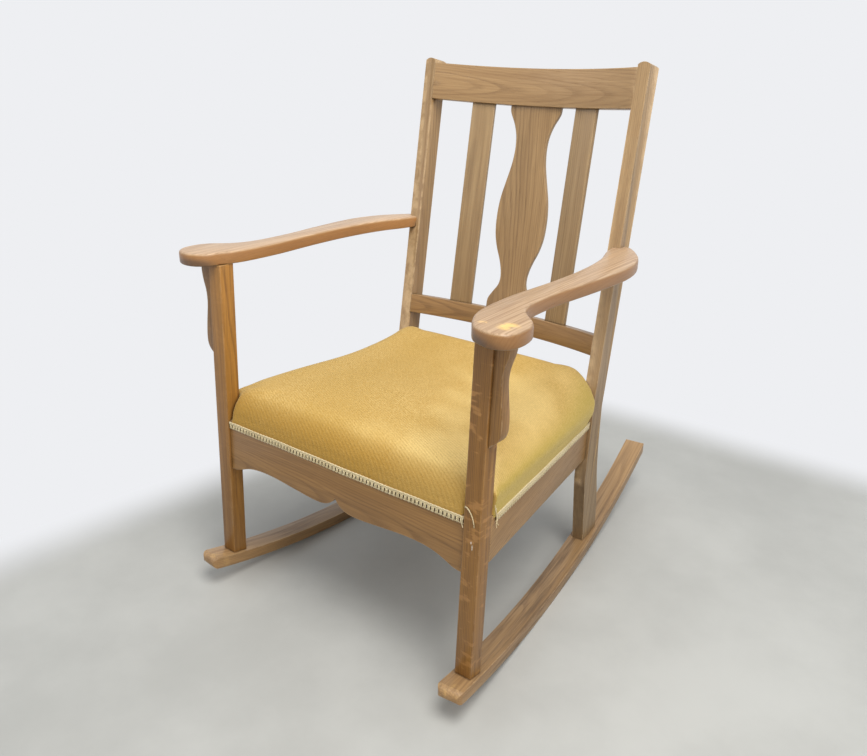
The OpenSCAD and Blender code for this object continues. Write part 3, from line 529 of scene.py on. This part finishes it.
def board(base, along, heart, seed, slope=0.0):
    """Places in the log of a straight board: the heart lies at a distance beside its middle,
    and the board may be cut on a slope to it."""
    frame_in = grain_of(base, along)

    def place(p):
        q = frame_in @ p
        return (q.x + heart[0] + slope * q.z, q.y + heart[1] + slope * q.z, q.z + LOG_STEP * seed)
    return place


def bowed_board(heart, seed, slope):
    """Places in the log of a bowed back rail, whose fibres follow its bow."""
    into = BACK.inverted()
    radius = (bow_half ** 2 + BACK_BOW ** 2) / (2 * BACK_BOW)

    def place(p):
        q = into @ p
        depth = q.y - (BACK_BOW - radius)
        along = radius * math.atan2(q.x, depth)
        return (q.z + heart[0], math.hypot(q.x, depth) - radius + heart[1] + slope * along,
                along + LOG_STEP * seed)
    return place


def bent_board(side, heart, seed):
    """Places in the log of a rocker, whose fibres follow its curve."""
    frame_in = ROCKER.inverted()

    def place(p):
        q = frame_in @ Vector((p.x * side, p.y, p.z))
        up, along = ROCKER_R - q.z, q.y - rest_l
        return (q.x + heart[0], ROCKER_R - math.hypot(up, along) + heart[1],
                ROCKER_R * math.atan2(along, up) + LOG_STEP * seed)
    return place


def even(tone, worn=0.0, dirt=0.0):
    """The same tone, wear and dirt all over a piece."""
    return lambda p: (tone, worn, dirt)


def arm_finish_and_highlight(tone):
    """An arm is paler at its elbow: a painted highlight."""
    def finish(p):
        q = ARM.inverted() @ p
        return (tone + 0.16 * share_of(q.y, 0.33, 0.47), 0.15, 0.15)
    return finish


def rocker_finish(p):
    """Rockers are grimy between the legs, and pale at nose and tail."""
    from_nose = p.y + ROCKER_NOSE + mid_y
    along = from_nose / (2 * mid_y)
    middle = math.sin(math.pi * share_of(along, 0.0, 1.0))
    nose = math.exp(-(from_nose / 0.05) ** 2)
    tail = max(0.0, along - 0.8) / 0.2
    return (-0.04 - 0.16 * middle + 0.16 * nose + 0.12 * tail, 0.1 + 0.4 * nose,
            0.3 + 0.55 * middle - 0.3 * tail)


def post_finish(tone):
    """Posts are darker below the seat."""
    def finish(p):
        q = CHAIR.inverted() @ p
        low = share_of(q.z, SEAT_H, SEAT_H - 0.04)
        return (tone - 0.48 * low, 0.05, 0.1 + 0.2 * low)
    return finish


def leg_finish(tone, fall):
    """Legs darken towards the foot, with a slight wave of tone."""
    def finish(p):
        q = CHAIR.inverted() @ p
        low = share_of(q.z, 0.34, 0.04)
        return (tone - fall * low + 0.02 * math.sin(23 * q.z), 0.1, 0.12)
    return finish


# The grain of a post runs straight, on a slope between that of its foot and of its back
POST_GRAIN = CHAIR @ move(0, foot_y, 0) @ turn(-math.radians(2.6), "X")

# Each oak piece: its place in the log, its finish, its cut and the width of its eased edges.
# The far leg and arm face the light and are paler. The arms are rounded in the CAD already.
for name, side in SIDES.items():
    shift = 0.5 * side
    near = side > 0
    oak_piece(f"rocker_{name}", bent_board(side, (0.012, 0.05), 1 + shift), rocker_finish,
              (0.45, 0.0, 0.2), 0.0025)
    oak_piece(f"front_leg_{name}", board(CHAIR, "z", (0.09 - side * leg_x, 0.012), 3 + shift),
              leg_finish(0.02 if near else 0.18, 0.26 if near else 0.38),
              (1.0, 1.0 if near else 0.15, 0.0), 0.0009)
    oak_piece(f"back_post_{name}", board(POST_GRAIN, "z", (0.07 - side * post_x, 0.02), 5 + shift),
              post_finish(0.12 if near else 0.0), (0.12 if near else 0.25, 0.1, 0.1), 0.002)
    oak_piece(f"side_seat_rail_{name}", board(CHAIR, "y", (0.045, 0.02), 7 + shift),
              even(-0.02, 0.05, 0.1), (0.6, 0.0, 0.1))
    oak_piece(f"back_slat_{name}", board(BACK, "z", (0.06 - 0.05 * side, 0.05), 9 + shift),
              even(-0.1, 0.05, 0.08), (0.12, 0.05, 0.0))
    oak_piece(f"arm_{name}", board(ARM, "y", (0.02 - side * 0.28, 0.05), 11 + shift),
              arm_finish_and_highlight(-0.06 if near else 0.24), (0.35, 0.0, 1.0), 0.0)
    oak_piece(f"arm_corbel_{name}", board(CHAIR, "z", (0.08 - side * 0.31, 0.03), 13 + shift),
              even(-0.15, 0.1, 0.2), (0.85, 0.3, 0.1))
oak_piece("front_seat_rail", board(CHAIR, "x", (0.205, 0.04), 15, 0.02),
          even(-0.06, 0.08, 0.1), (0.75, 0.0, 0.1))
oak_piece("back_seat_rail", board(CHAIR, "x", (0.20, -0.40), 16), even(-0.2, 0.0, 0.2))
oak_piece("crest_rail", bowed_board((-0.575, 0.05), 17.3, 0.03), even(0.07, 0.08, 0.05),
          (0.2, 0.0, 0.2))
oak_piece("lower_back_rail", bowed_board((-0.11, 0.04), 18.2, 0.02), even(-0.14, 0.08, 0.14),
          (0.5, 0.0, 0.15))
oak_piece("center_splat", board(BACK, "z", (0.052, 0.03), 19, 0.008), even(-0.03, 0.03, 0.06),
          (0.3, 0.0, 0.0), 0.0011)

INNER_NODES = [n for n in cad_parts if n.startswith(("corner_block", "web_cleat"))
               or "_pin_" in n]
for node in INNER_NODES:
    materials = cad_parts[node].data.materials
    materials.clear()
    materials.append(INNER)


# The cushion

# How far the hem stands off the rails and hangs below their tops, and how far below them the
# form starts
HEM_OUT, HEM_DROP, FORM_DROP = 0.0010, 0.0055, 0.016
# How far the form's walls swell out. The front's swell fades towards its corners
SWELL_FRONT, SWELL_BACK, SWELL_SIDE_NEAR, SWELL_SIDE_FAR = 0.002, 0.0115, 0.005, 0.0155
FRONT_FADE, FRONT_HALF = 0.9, 0.285
# How high the walls go, and the width of the rounding above them with its power
RIM_FRONT, RIM_BACK, RIM_SIDE = 0.014, 0.030, 0.035
ROUND_FRONT, ROUND_BACK, ROUND_SIDE, EDGE_POWER = 0.034, 0.0645, 0.0633, 1.62
# The crown's height along the seat, and how much it falls at the sides
CROWN_START, CROWN_SLOPE, CROWN_CURVE, CROWN_WAVE = 0.056, 0.0073, 0.0640, 0.0079
CROWN_DISH = -0.04
# The form's grid: columns around it, rings up its walls and over its top, the pull of the
# rings to the rim, the power that squares its plan, and where its walls turn into corners
AROUND, WALL_RINGS, TOP_RINGS, RING_PULL, CORNER_POWER = 192, 10, 40, 1.6, 30
CORNER_FROM, CORNER_TO = 0.9, 0.97
# The gap left round legs and posts before the cloth fill and after it
FORM_GAP, LAST_GAP = 0.0015, 0.0006
# The size of the cells that the form is meshed anew with
VOXEL = 0.005
# The cloth fill: its pressure, its frames, the most it may move a point, and the height over
# which the hem lets go
FILL_PRESSURE, FILL_FRAMES, FILL_CAP, HEM_HOLD = 4.0, 20, 0.003, 0.012
# How far the blocks that cut the cushion reach out past it, and the depth cut for the frame
FAR, FRAME_DEPTH = 0.4, 0.06


def rounded(distance, radius):
    """The rise of a rounded edge at a distance in from it, from 0 to 1."""
    s = share_of(distance, 0.0, radius)
    return (1 - (1 - s) ** EDGE_POWER) ** (1 / EDGE_POWER)


def cushion_form():
    """A crowned form over the seat frame: upright at the front rail, swelling at the sides
    and the back, with a broad rounding into the crown."""
    front, back = RAIL_SETBACK - HEM_OUT, back_out + HEM_OUT
    middle, half = (front + back) / 2, (back - front) / 2

    def side_swell(share):
        return SWELL_SIDE_NEAR + (SWELL_SIDE_FAR - SWELL_SIDE_NEAR) * share

    def front_swell(x):
        return SWELL_FRONT * (1 - FRONT_FADE * (x / FRONT_HALF) ** 2)

    def top_at(x, y):
        share = share_of(y, front, back)
        reach = seat_half(min(max(y, front), back)) + HEM_OUT + side_swell(share)
        top = (CROWN_START + CROWN_SLOPE * share + CROWN_CURVE * share ** 2
               + CROWN_WAVE * math.sin(math.tau * share)) * (1 + CROWN_DISH * (x / reach) ** 2)
        edge = (rounded(reach - abs(x), ROUND_SIDE)
                * rounded(y - front + front_swell(x), ROUND_FRONT)
                * rounded(back + SWELL_BACK - y, ROUND_BACK))
        return top, edge

    columns = []
    for i in range(AROUND):
        a = math.tau * i / AROUND
        c, s = math.cos(a), math.sin(a)
        r = (abs(c) ** CORNER_POWER + abs(s) ** CORNER_POWER) ** (-1 / CORNER_POWER)
        y = middle + r * s * half
        x = r * c * (seat_half(y) + HEM_OUT)
        at_side, at_front, at_back = (share_of(v * r, CORNER_FROM, CORNER_TO)
                                      for v in (abs(c), -s, s))
        total = at_side + at_front + at_back
        out_x = math.copysign(at_side * side_swell(share_of(y, front, back)), c)
        out_y = at_back * SWELL_BACK - at_front * front_swell(x)
        rim = (at_side * RIM_SIDE + at_front * RIM_FRONT + at_back * RIM_BACK) / total
        column = []
        for k in range(WALL_RINGS + 1):
            h = -FORM_DROP + (rim + FORM_DROP) * k / WALL_RINGS
            f = math.sin(math.pi / 2 * share_of(h, 0.0, rim))
            column.append((x + out_x * f, y + out_y * f, h))
        for k in range(1, TOP_RINGS + 1):
            t = (k / (TOP_RINGS + 0.3)) ** RING_PULL
            px, py = (x + out_x) * (1 - t), middle + (y + out_y - middle) * (1 - t)
            top, edge = top_at(px, py)
            column.append((px, py, rim + (top - rim) * edge))
        columns.append(column)
    bm = bmesh.new()
    skin(bm, [[bm.verts.new(CHAIR @ Vector((x, y, SEAT_H + h))) for x, y, h in ring]
              for ring in zip(*columns)])
    return mesh_of(bm, "cushion_form")


def block_mesh(matrix, low, high):
    """A block between two corners in a frame."""
    bm = bmesh.new()
    bmesh.ops.create_cube(bm, size=1.0)
    size = Vector(high) - Vector(low)
    middle = (Vector(high) + Vector(low)) / 2
    for v in bm.verts:
        v.co = matrix @ (v.co * size + middle)
    return mesh_of(bm, "cut")


def apply_modifiers(obj):
    """Gives the object a mesh with its modifiers in it."""
    graph = bpy.context.evaluated_depsgraph_get()
    mesh = bpy.data.meshes.new_from_object(obj.evaluated_get(graph))
    obj.modifiers.clear()
    old = obj.data
    obj.data = mesh
    bpy.data.meshes.remove(old)


def cut_away(obj, mesh):
    """Takes the room of a mesh out of an object."""
    cutter = add_object("cut", mesh)
    cut = obj.modifiers.new("cut", "BOOLEAN")
    cut.operation, cut.solver, cut.object = "DIFFERENCE", "EXACT", cutter
    apply_modifiers(obj)
    bpy.data.objects.remove(cutter)


def cut_for_wood(obj, gap):
    """Takes the room of legs and posts out of the cushion."""
    for side in SIDES.values():
        inner = FRAME_W / 2 - LEG_W - gap
        leg = sorted((side * inner, side * (inner + FAR)))
        post = sorted((side * (bow_half - gap), side * (bow_half + FAR)))
        for matrix, low, high in (
                (CHAIR, (leg[0], -FAR, 0.1), (leg[1], LEG_D + gap, 0.6)),
                (BACK, (post[0], -gap, -0.1), (post[1], FAR, 0.2)),
                (CHAIR, (post[0], SEAT_D - gap, 0.1), (post[1], FAR + SEAT_D, BEND_H + 0.01))):
            cut_away(obj, block_mesh(matrix, low, high))


def cut_for_frame(obj):
    """Takes the room of the seat frame out of the cushion, and leaves a hem outside it."""
    bm = bmesh.new()
    front, back = RAIL_SETBACK, back_out
    plan = [(-seat_half(front), front), (seat_half(front), front),
            (seat_half(back), back), (-seat_half(back), back)]
    skin(bm, [[bm.verts.new(CHAIR @ Vector((x, y, z))) for x, y in plan]
              for z in (SEAT_H - FRAME_DEPTH, SEAT_H + LAST_GAP)])
    cut_away(obj, mesh_of(bm, "cut"))
    cut_away(obj, block_mesh(CHAIR, (-0.5, -0.2, 0.1), (0.5, 0.8, SEAT_H - HEM_DROP)))


def inflate(obj):
    """Fills the cover like a tight pad: cloth with pressure, its hem held. No point moves
    further than the cap."""
    start = [v.co.copy() for v in obj.data.vertices]
    into = CHAIR.inverted()
    held = obj.vertex_groups.new(name="held")
    for v in obj.data.vertices:
        held.add([v.index], 1.0 - share_of((into @ v.co).z - SEAT_H, 0.0, HEM_HOLD), "REPLACE")
    cloth = obj.modifiers.new("fill", "CLOTH")
    cloth.settings.use_pressure = True
    cloth.settings.uniform_pressure_force = FILL_PRESSURE
    cloth.settings.effector_weights.gravity = 0.0
    cloth.settings.vertex_group_mass = "held"
    cloth.settings.quality = 5
    cloth.point_cache.frame_start, cloth.point_cache.frame_end = 1, FILL_FRAMES
    for f in range(1, FILL_FRAMES + 1):
        bpy.context.scene.frame_set(f)
    apply_modifiers(obj)
    bpy.context.scene.frame_set(1)
    for v, was in zip(obj.data.vertices, start):
        shift = v.co - was
        if shift.length > FILL_CAP:
            v.co = was + shift * (FILL_CAP / shift.length)


def relax(mesh, rounds, keep):
    """Evens the mesh out: each round moves a point half way to the mean of its neighbours,
    apart from the points to keep."""
    bm = bmesh.new()
    bm.from_mesh(mesh)
    free = [v for v in bm.verts if not keep(v.co)]
    for _ in range(rounds):
        moved = [(v, v.co.lerp(sum((e.other_vert(v).co for e in v.link_edges), Vector())
                               / len(v.link_edges), 0.5)) for v in free]
        for v, co in moved:
            v.co = co
    bm.to_mesh(mesh)
    bm.free()


def make_cushion():
    """The padded cushion, which stands for the cover and its stuffing."""
    obj = add_object("seat_cushion", cushion_form())
    cut_for_wood(obj, FORM_GAP)
    remesh = obj.modifiers.new("even", "REMESH")
    remesh.mode, remesh.voxel_size = "VOXEL", VOXEL
    apply_modifiers(obj)
    into = CHAIR.inverted()

    def low(p):
        return (into @ p).z < SEAT_H - 0.002

    relax(obj.data, 3, low)
    inflate(obj)
    relax(obj.data, 2, low)
    fine = obj.modifiers.new("fine", "SUBSURF")
    fine.levels = fine.render_levels = 1
    apply_modifiers(obj)
    cut_for_wood(obj, LAST_GAP)
    cut_for_frame(obj)
    mesh = obj.data
    bpy.data.objects.remove(obj)
    made = piece("seat_cushion", mesh, PLUSH, ["seat_cover", "seat_stuffing"],
                 math.radians(50))


make_cushion()


# The gimp braid

def tube(bm, points, radius, sides=6):
    """Adds a round cord through points, closed at both ends."""
    rings = []
    last = len(points) - 1
    for i, p in enumerate(points):
        t = (points[min(i + 1, last)] - points[max(i - 1, 0)]).normalized()
        side = t.cross(Vector((0.13, 0.21, 1.0))).normalized()
        up = side.cross(t)
        rings.append([bm.verts.new(p + radius * (math.cos(math.tau * k / sides) * side
                                                  + math.sin(math.tau * k / sides) * up))
                      for k in range(sides)])
    skin(bm, rings)


# The braid's cords: how far its middle stands off the rail, the highest cord below the
# braid's top and the loops' ends above its foot, and the radii of loops and loose threads
BRAID_OFF, TOP_CORD, LOOP_END, LOOP_R, THREAD_R = 0.0018, 0.0012, 0.0014, 0.00125, 0.0006
# A loop's outline, across in half widths and up in shares of its height
LOOP_HALF = 0.0013
LOOP = ((-0.9, 0.72), (-1.1, 0.45), (-1.0, 0.14), (0.0, 0.0), (1.0, 0.14), (1.1, 0.45),
        (0.9, 0.72))


def braid(name, node, start, end, out, loose=()):
    """Gimp along a rail: a double cord on top, a row of loops hanging from it, and a fine
    thread through their ends. start and end lie on the rail's face in the chair's frame.
    loose holds the routes of threads that have come out at an end."""
    bm = bmesh.new()
    run = end - start
    length, along = run.length, run.normalized()
    count = round(length / GIMP_PITCH)
    steps = 8 * count
    top = SEAT_H - GIMP_DROP - TOP_CORD
    low = SEAT_H - GIMP_DROP - GIMP_H + LOOP_END

    def place(s, height, off=0.0):
        wave = 0.0005 * math.sin(17 * s + 3 * start.x) + 0.0003 * math.sin(61 * s)
        p = start + along * s + out * (BRAID_OFF + off)
        return CHAIR @ Vector((p.x, p.y, height + wave))

    def cord(height, swing, off, radius, phase):
        tube(bm, [place(length * k / steps,
                        height + swing * math.cos(math.tau * (k / 8 + phase)),
                        off) for k in range(steps + 1)], radius)

    # Each cord's height, swing, place out from the middle, radius and phase
    cord(top, 0.0003, 0.0003, 0.0013, 0.0)
    cord(top - 0.0023, 0.0003, 0.0002, 0.0012, 0.5)
    cord(low + 0.0006, 0.0007, -0.0004, 0.0007, 0.5)
    for k in range(count):
        s = length * (k + 0.5) / count
        tube(bm, [place(s + LOOP_HALF * x, low + (top - low) * z, 0.0003) for x, z in LOOP],
             LOOP_R)
    for route in loose:
        tube(bm, [CHAIR @ Vector(p) for p in soft_route(route)], THREAD_R)
    piece(name, mesh_of(bm, name), BRAID, [node])


def soft_route(points, steps=5):
    """A smooth route through the points."""
    made = []
    last = len(points) - 1
    for i in range(last):
        a, b, c, d = (Vector(points[max(0, min(last, i + k))]) for k in (-1, 0, 1, 2))
        for k in range(steps):
            t = k / steps
            made.append(0.5 * (2 * b + (c - a) * t + (2 * a - 5 * b + 4 * c - d) * t * t
                               + (3 * b - a - 3 * c + d) * t ** 3))
    return made + [Vector(points[last])]


# Threads that have come out of the gimp beside the left front leg, in the chair's frame
FRONT_LOOSE = [
    [(0.2692, 0.0060, 0.3020), (0.2700, 0.0004, 0.3050), (0.2738, -0.0012, 0.3060),
     (0.2795, -0.0016, 0.3020), (0.2850, -0.0014, 0.2935), (0.2884, -0.0012, 0.2840),
     (0.2892, -0.0010, 0.2765)],
    [(0.2692, 0.0060, 0.3000), (0.2702, 0.0000, 0.3035), (0.2745, -0.0014, 0.3045),
     (0.2808, -0.0022, 0.3000), (0.2862, -0.0022, 0.2910), (0.2890, -0.0018, 0.2815)],
    [(0.2650, 0.0020, 0.2740), (0.2675, -0.0006, 0.2725), (0.2690, -0.0010, 0.2690)],
]
SIDE_LOOSE = [
    [(0.3000, 0.044, 0.281), (0.3024, 0.038, 0.286), (0.3030, 0.034, 0.296),
     (0.3024, 0.0325, 0.305)],
    [(0.3000, 0.044, 0.279), (0.3030, 0.038, 0.283), (0.3036, 0.0355, 0.292),
     (0.3030, 0.036, 0.299)],
    [(0.3000, 0.045, 0.277), (0.3026, 0.040, 0.274), (0.3034, 0.0385, 0.268),
     (0.3028, 0.041, 0.263)],
    [(0.3000, 0.045, 0.275), (0.3030, 0.041, 0.272), (0.3042, 0.044, 0.2665)],
]
# The gap at a braid's end, and the length that has frayed away at the left front leg
END_GAP, FRAYED = 0.0015, 0.011
half_front = FRAME_W / 2 - LEG_W - END_GAP
braid("braid_front", "gimp_front", Vector((-half_front, RAIL_SETBACK, 0)),
      Vector((half_front, RAIL_SETBACK, 0)), Vector((0, -1, 0)), FRONT_LOOSE)
braid("braid_back", "gimp_back", Vector((bow_half - END_GAP, back_out, 0)),
      Vector((END_GAP - bow_half, back_out, 0)), Vector((0, 1, 0)))
for name, side in SIDES.items():
    start_y = LEG_D + (END_GAP if side < 0 else FRAYED)
    end_y = SEAT_D - END_GAP
    braid(f"braid_{name}", f"gimp_{name}", Vector((side * seat_half(start_y), start_y, 0)),
          Vector((side * seat_half(end_y), end_y, 0)),
          Vector((side * math.cos(side_angle), math.sin(side_angle), 0)),
          SIDE_LOOSE if side > 0 else ())


# Springs, webbing and burlap under the seat

# The share of a turn that is flat at each end of a coil, how far it climbs in widths of the
# wire, and the steps to a turn
FLAT_TURN, END_CLIMB, TURN_STEPS = 0.75, 1.35, 24


def spring(i):
    """A waisted coil on a crossing of the straps, with a flat part at each end."""
    column, row = i % 3 - 1, i // 3 - 1
    middle_y = (RAIL_SETBACK + RAIL_T + SEAT_D + BACK_RAIL_IN) / 2
    height = SEAT_H - cleat_z
    flat_part = FLAT_TURN / SPRING_TURNS
    climb = SPRING_WIRE * END_CLIMB
    wire_r = SPRING_WIRE / 2
    points = []
    count = SPRING_TURNS * TURN_STEPS
    for k in range(count + 1):
        t = k / count
        r = SPRING_WAIST + (SPRING_R - SPRING_WAIST) * (2 * t - 1) ** 2
        a = math.tau * SPRING_TURNS * t
        low, high = (min(v / flat_part, 1) * climb for v in (t, 1 - t))
        lift = share_of(t, flat_part, 1 - flat_part)
        z = wire_r + low + lift * (height - 2 * wire_r - 2 * climb) + climb - high
        points.append(CHAIR @ Vector((column * WEB_PITCH + r * math.cos(a),
                                      middle_y + row * WEB_PITCH + r * math.sin(a), cleat_z + z)))
    bm = bmesh.new()
    tube(bm, points, wire_r, 10)
    name = f"coil_{i + 1}"
    piece(name, mesh_of(bm, name), WIRE, [f"seat_spring_{i + 1}"])


for i in range(9):
    spring(i)


# The longest edge of the divided cloth, and how uneven it is
CLOTH_EDGE, RIPPLE = 0.02, 0.0004


def cloth_copy(node, name, material):
    """Stands for a flat cloth node: the same outline, finely divided and gently uneven."""
    bm = welded(node)
    bmesh.ops.triangulate(bm, faces=bm.faces)
    for _ in range(4):
        long_edges = [e for e in bm.edges if e.calc_length() > CLOTH_EDGE]
        bmesh.ops.subdivide_edges(bm, edges=long_edges, cuts=1, use_grid_fill=True)
    up = CHAIR.to_3x3() @ Vector((0, 0, 1))
    for v in bm.verts:
        v.co += up * RIPPLE * (noise.noise(v.co * 22) - 0.3)
    piece(name, mesh_of(bm, name), material, [node], math.radians(40))


for i in (1, 2, 3):
    for way in ("long", "cross"):
        cloth_copy(f"webbing_{way}_{i}", f"strap_{way}_{i}", JUTE)
cloth_copy("burlap", "burlap_sheet", BURLAP)


# The room: a pale floor that fades to white, soft light, and the photograph's camera

ROOM_WHITE = srgb(238, 239, 242)
SKY, SKY_STRENGTH = (0.92, 0.96, 1.0, 1.0), 0.5
FLOOR_DARK, FLOOR_LIGHT = srgb(180, 180, 176), srgb(194, 194, 190)
# The floor fades to white past a slanting line at the chair's right, past a line behind it,
# each over the same width, and far off
RIGHT_SLANT, RIGHT_END, BACK_END, FADE_WIDTH = 0.148, 0.482, 0.685, 0.2
FAR_START, FAR_END = 1.3, 3.2
FLOOR_HALF = 12.0
LAMP_COLOUR, LAMP_AIM = (1.0, 0.98, 0.94), Vector((0, 0, 0.45))


def floor_material():
    """A pale mottled floor, which glows like the background where it has faded."""
    s = new_shader("floor_finish")
    place = s.place()
    mottle = s.noise(place, scale=2.4, detail=6, rough=0.6)
    colour = s.mix(s.step(mottle, 0.3, 0.7), FLOOR_DARK, FLOOR_LIGHT)
    x, y, z = s.split(place)
    past_right = s.minus(s.times(y, RIGHT_SLANT), s.plus(x, RIGHT_END))
    faded = s.step(s.vector("LENGTH", place), FAR_START, FAR_END)
    for past in (past_right, s.minus(y, BACK_END)):
        faded = s.math("MAXIMUM", faded, s.step(past, 0.0, FADE_WIDTH))
    shader = s.node("ShaderNodeBsdfPrincipled", {"Base Color": colour, "Roughness": 0.6})
    glow = s.node("ShaderNodeEmission", {"Color": ROOM_WHITE, "Strength": 1.0})
    shown = s.blend(s.times(faded, s.background_ray()), shader, glow)
    s.node("ShaderNodeOutputMaterial", {0: shown})
    return s.owner


def make_floor():
    mesh = bpy.data.meshes.new("floor")
    corners = ((-1, -1), (1, -1), (1, 1), (-1, 1))
    mesh.from_pydata([(FLOOR_HALF * x, FLOOR_HALF * y, 0) for x, y in corners],
                     [], [(0, 1, 2, 3)])
    mesh.materials.append(floor_material())
    add_object("floor", mesh)


def make_world():
    """Soft light all round, behind a background that shows as near white."""
    world = bpy.data.worlds.new("studio")
    bpy.context.scene.world = world
    s = Shader(world)
    light = s.node("ShaderNodeBackground", {"Color": SKY, "Strength": SKY_STRENGTH})
    white = s.node("ShaderNodeBackground", {"Color": ROOM_WHITE})
    s.node("ShaderNodeOutputWorld", {0: s.blend(s.background_ray(), light, white)})


def make_lamp(name, place, size, power):
    """A soft round lamp that shines on the chair's middle."""
    lamp = bpy.data.lights.new(name, "AREA")
    lamp.shape, lamp.size, lamp.energy, lamp.color = "DISK", size, power, LAMP_COLOUR
    made = add_object(name, lamp)
    made.location = place
    made.rotation_euler = (LAMP_AIM - Vector(place)).to_track_quat("-Z", "Y").to_euler()


def make_camera():
    """The photograph's camera, solved from the chair's own symmetry. Its size, focal length
    and centre are in pixels."""
    width, height, focal = 867, 756, 777.57
    centre_u, centre_v = 454.33, 377.05
    yaw, pitch, roll = (math.radians(a) for a in (35.67, -22.553, 0.826))
    place = Vector((0.8313, -0.7948 - mid_y, 0.9746))
    forward = Vector((-math.sin(yaw) * math.cos(pitch), math.cos(yaw) * math.cos(pitch),
                      math.sin(pitch)))
    level = forward.cross(Vector((0, 0, 1))).normalized()
    up = level.cross(forward)
    right = level * math.cos(roll) + up * math.sin(roll)
    above = up * math.cos(roll) - level * math.sin(roll)
    camera = bpy.data.cameras.new("camera")
    camera.sensor_fit, camera.sensor_width = "HORIZONTAL", 36.0
    camera.lens = focal * camera.sensor_width / width
    camera.shift_x = 0.5 - centre_u / width
    camera.shift_y = (centre_v - height / 2) / width
    made = add_object("camera", camera)
    made.matrix_world = Matrix((
        (right.x, above.x, -forward.x, place.x),
        (right.y, above.y, -forward.y, place.y),
        (right.z, above.z, -forward.z, place.z),
        (0, 0, 0, 1),
    ))
    bpy.context.scene.camera = made


make_floor()
make_world()
make_lamp("lamp_over", (1.0, -0.7, 2.9), 1.8, 64)
make_lamp("lamp_right", (2.3, -1.3, 1.9), 1.4, 18)
make_lamp("lamp_left", (-2.0, -1.9, 2.2), 1.4, 8)
make_camera()
bpy.context.scene.view_settings.view_transform = "Standard"
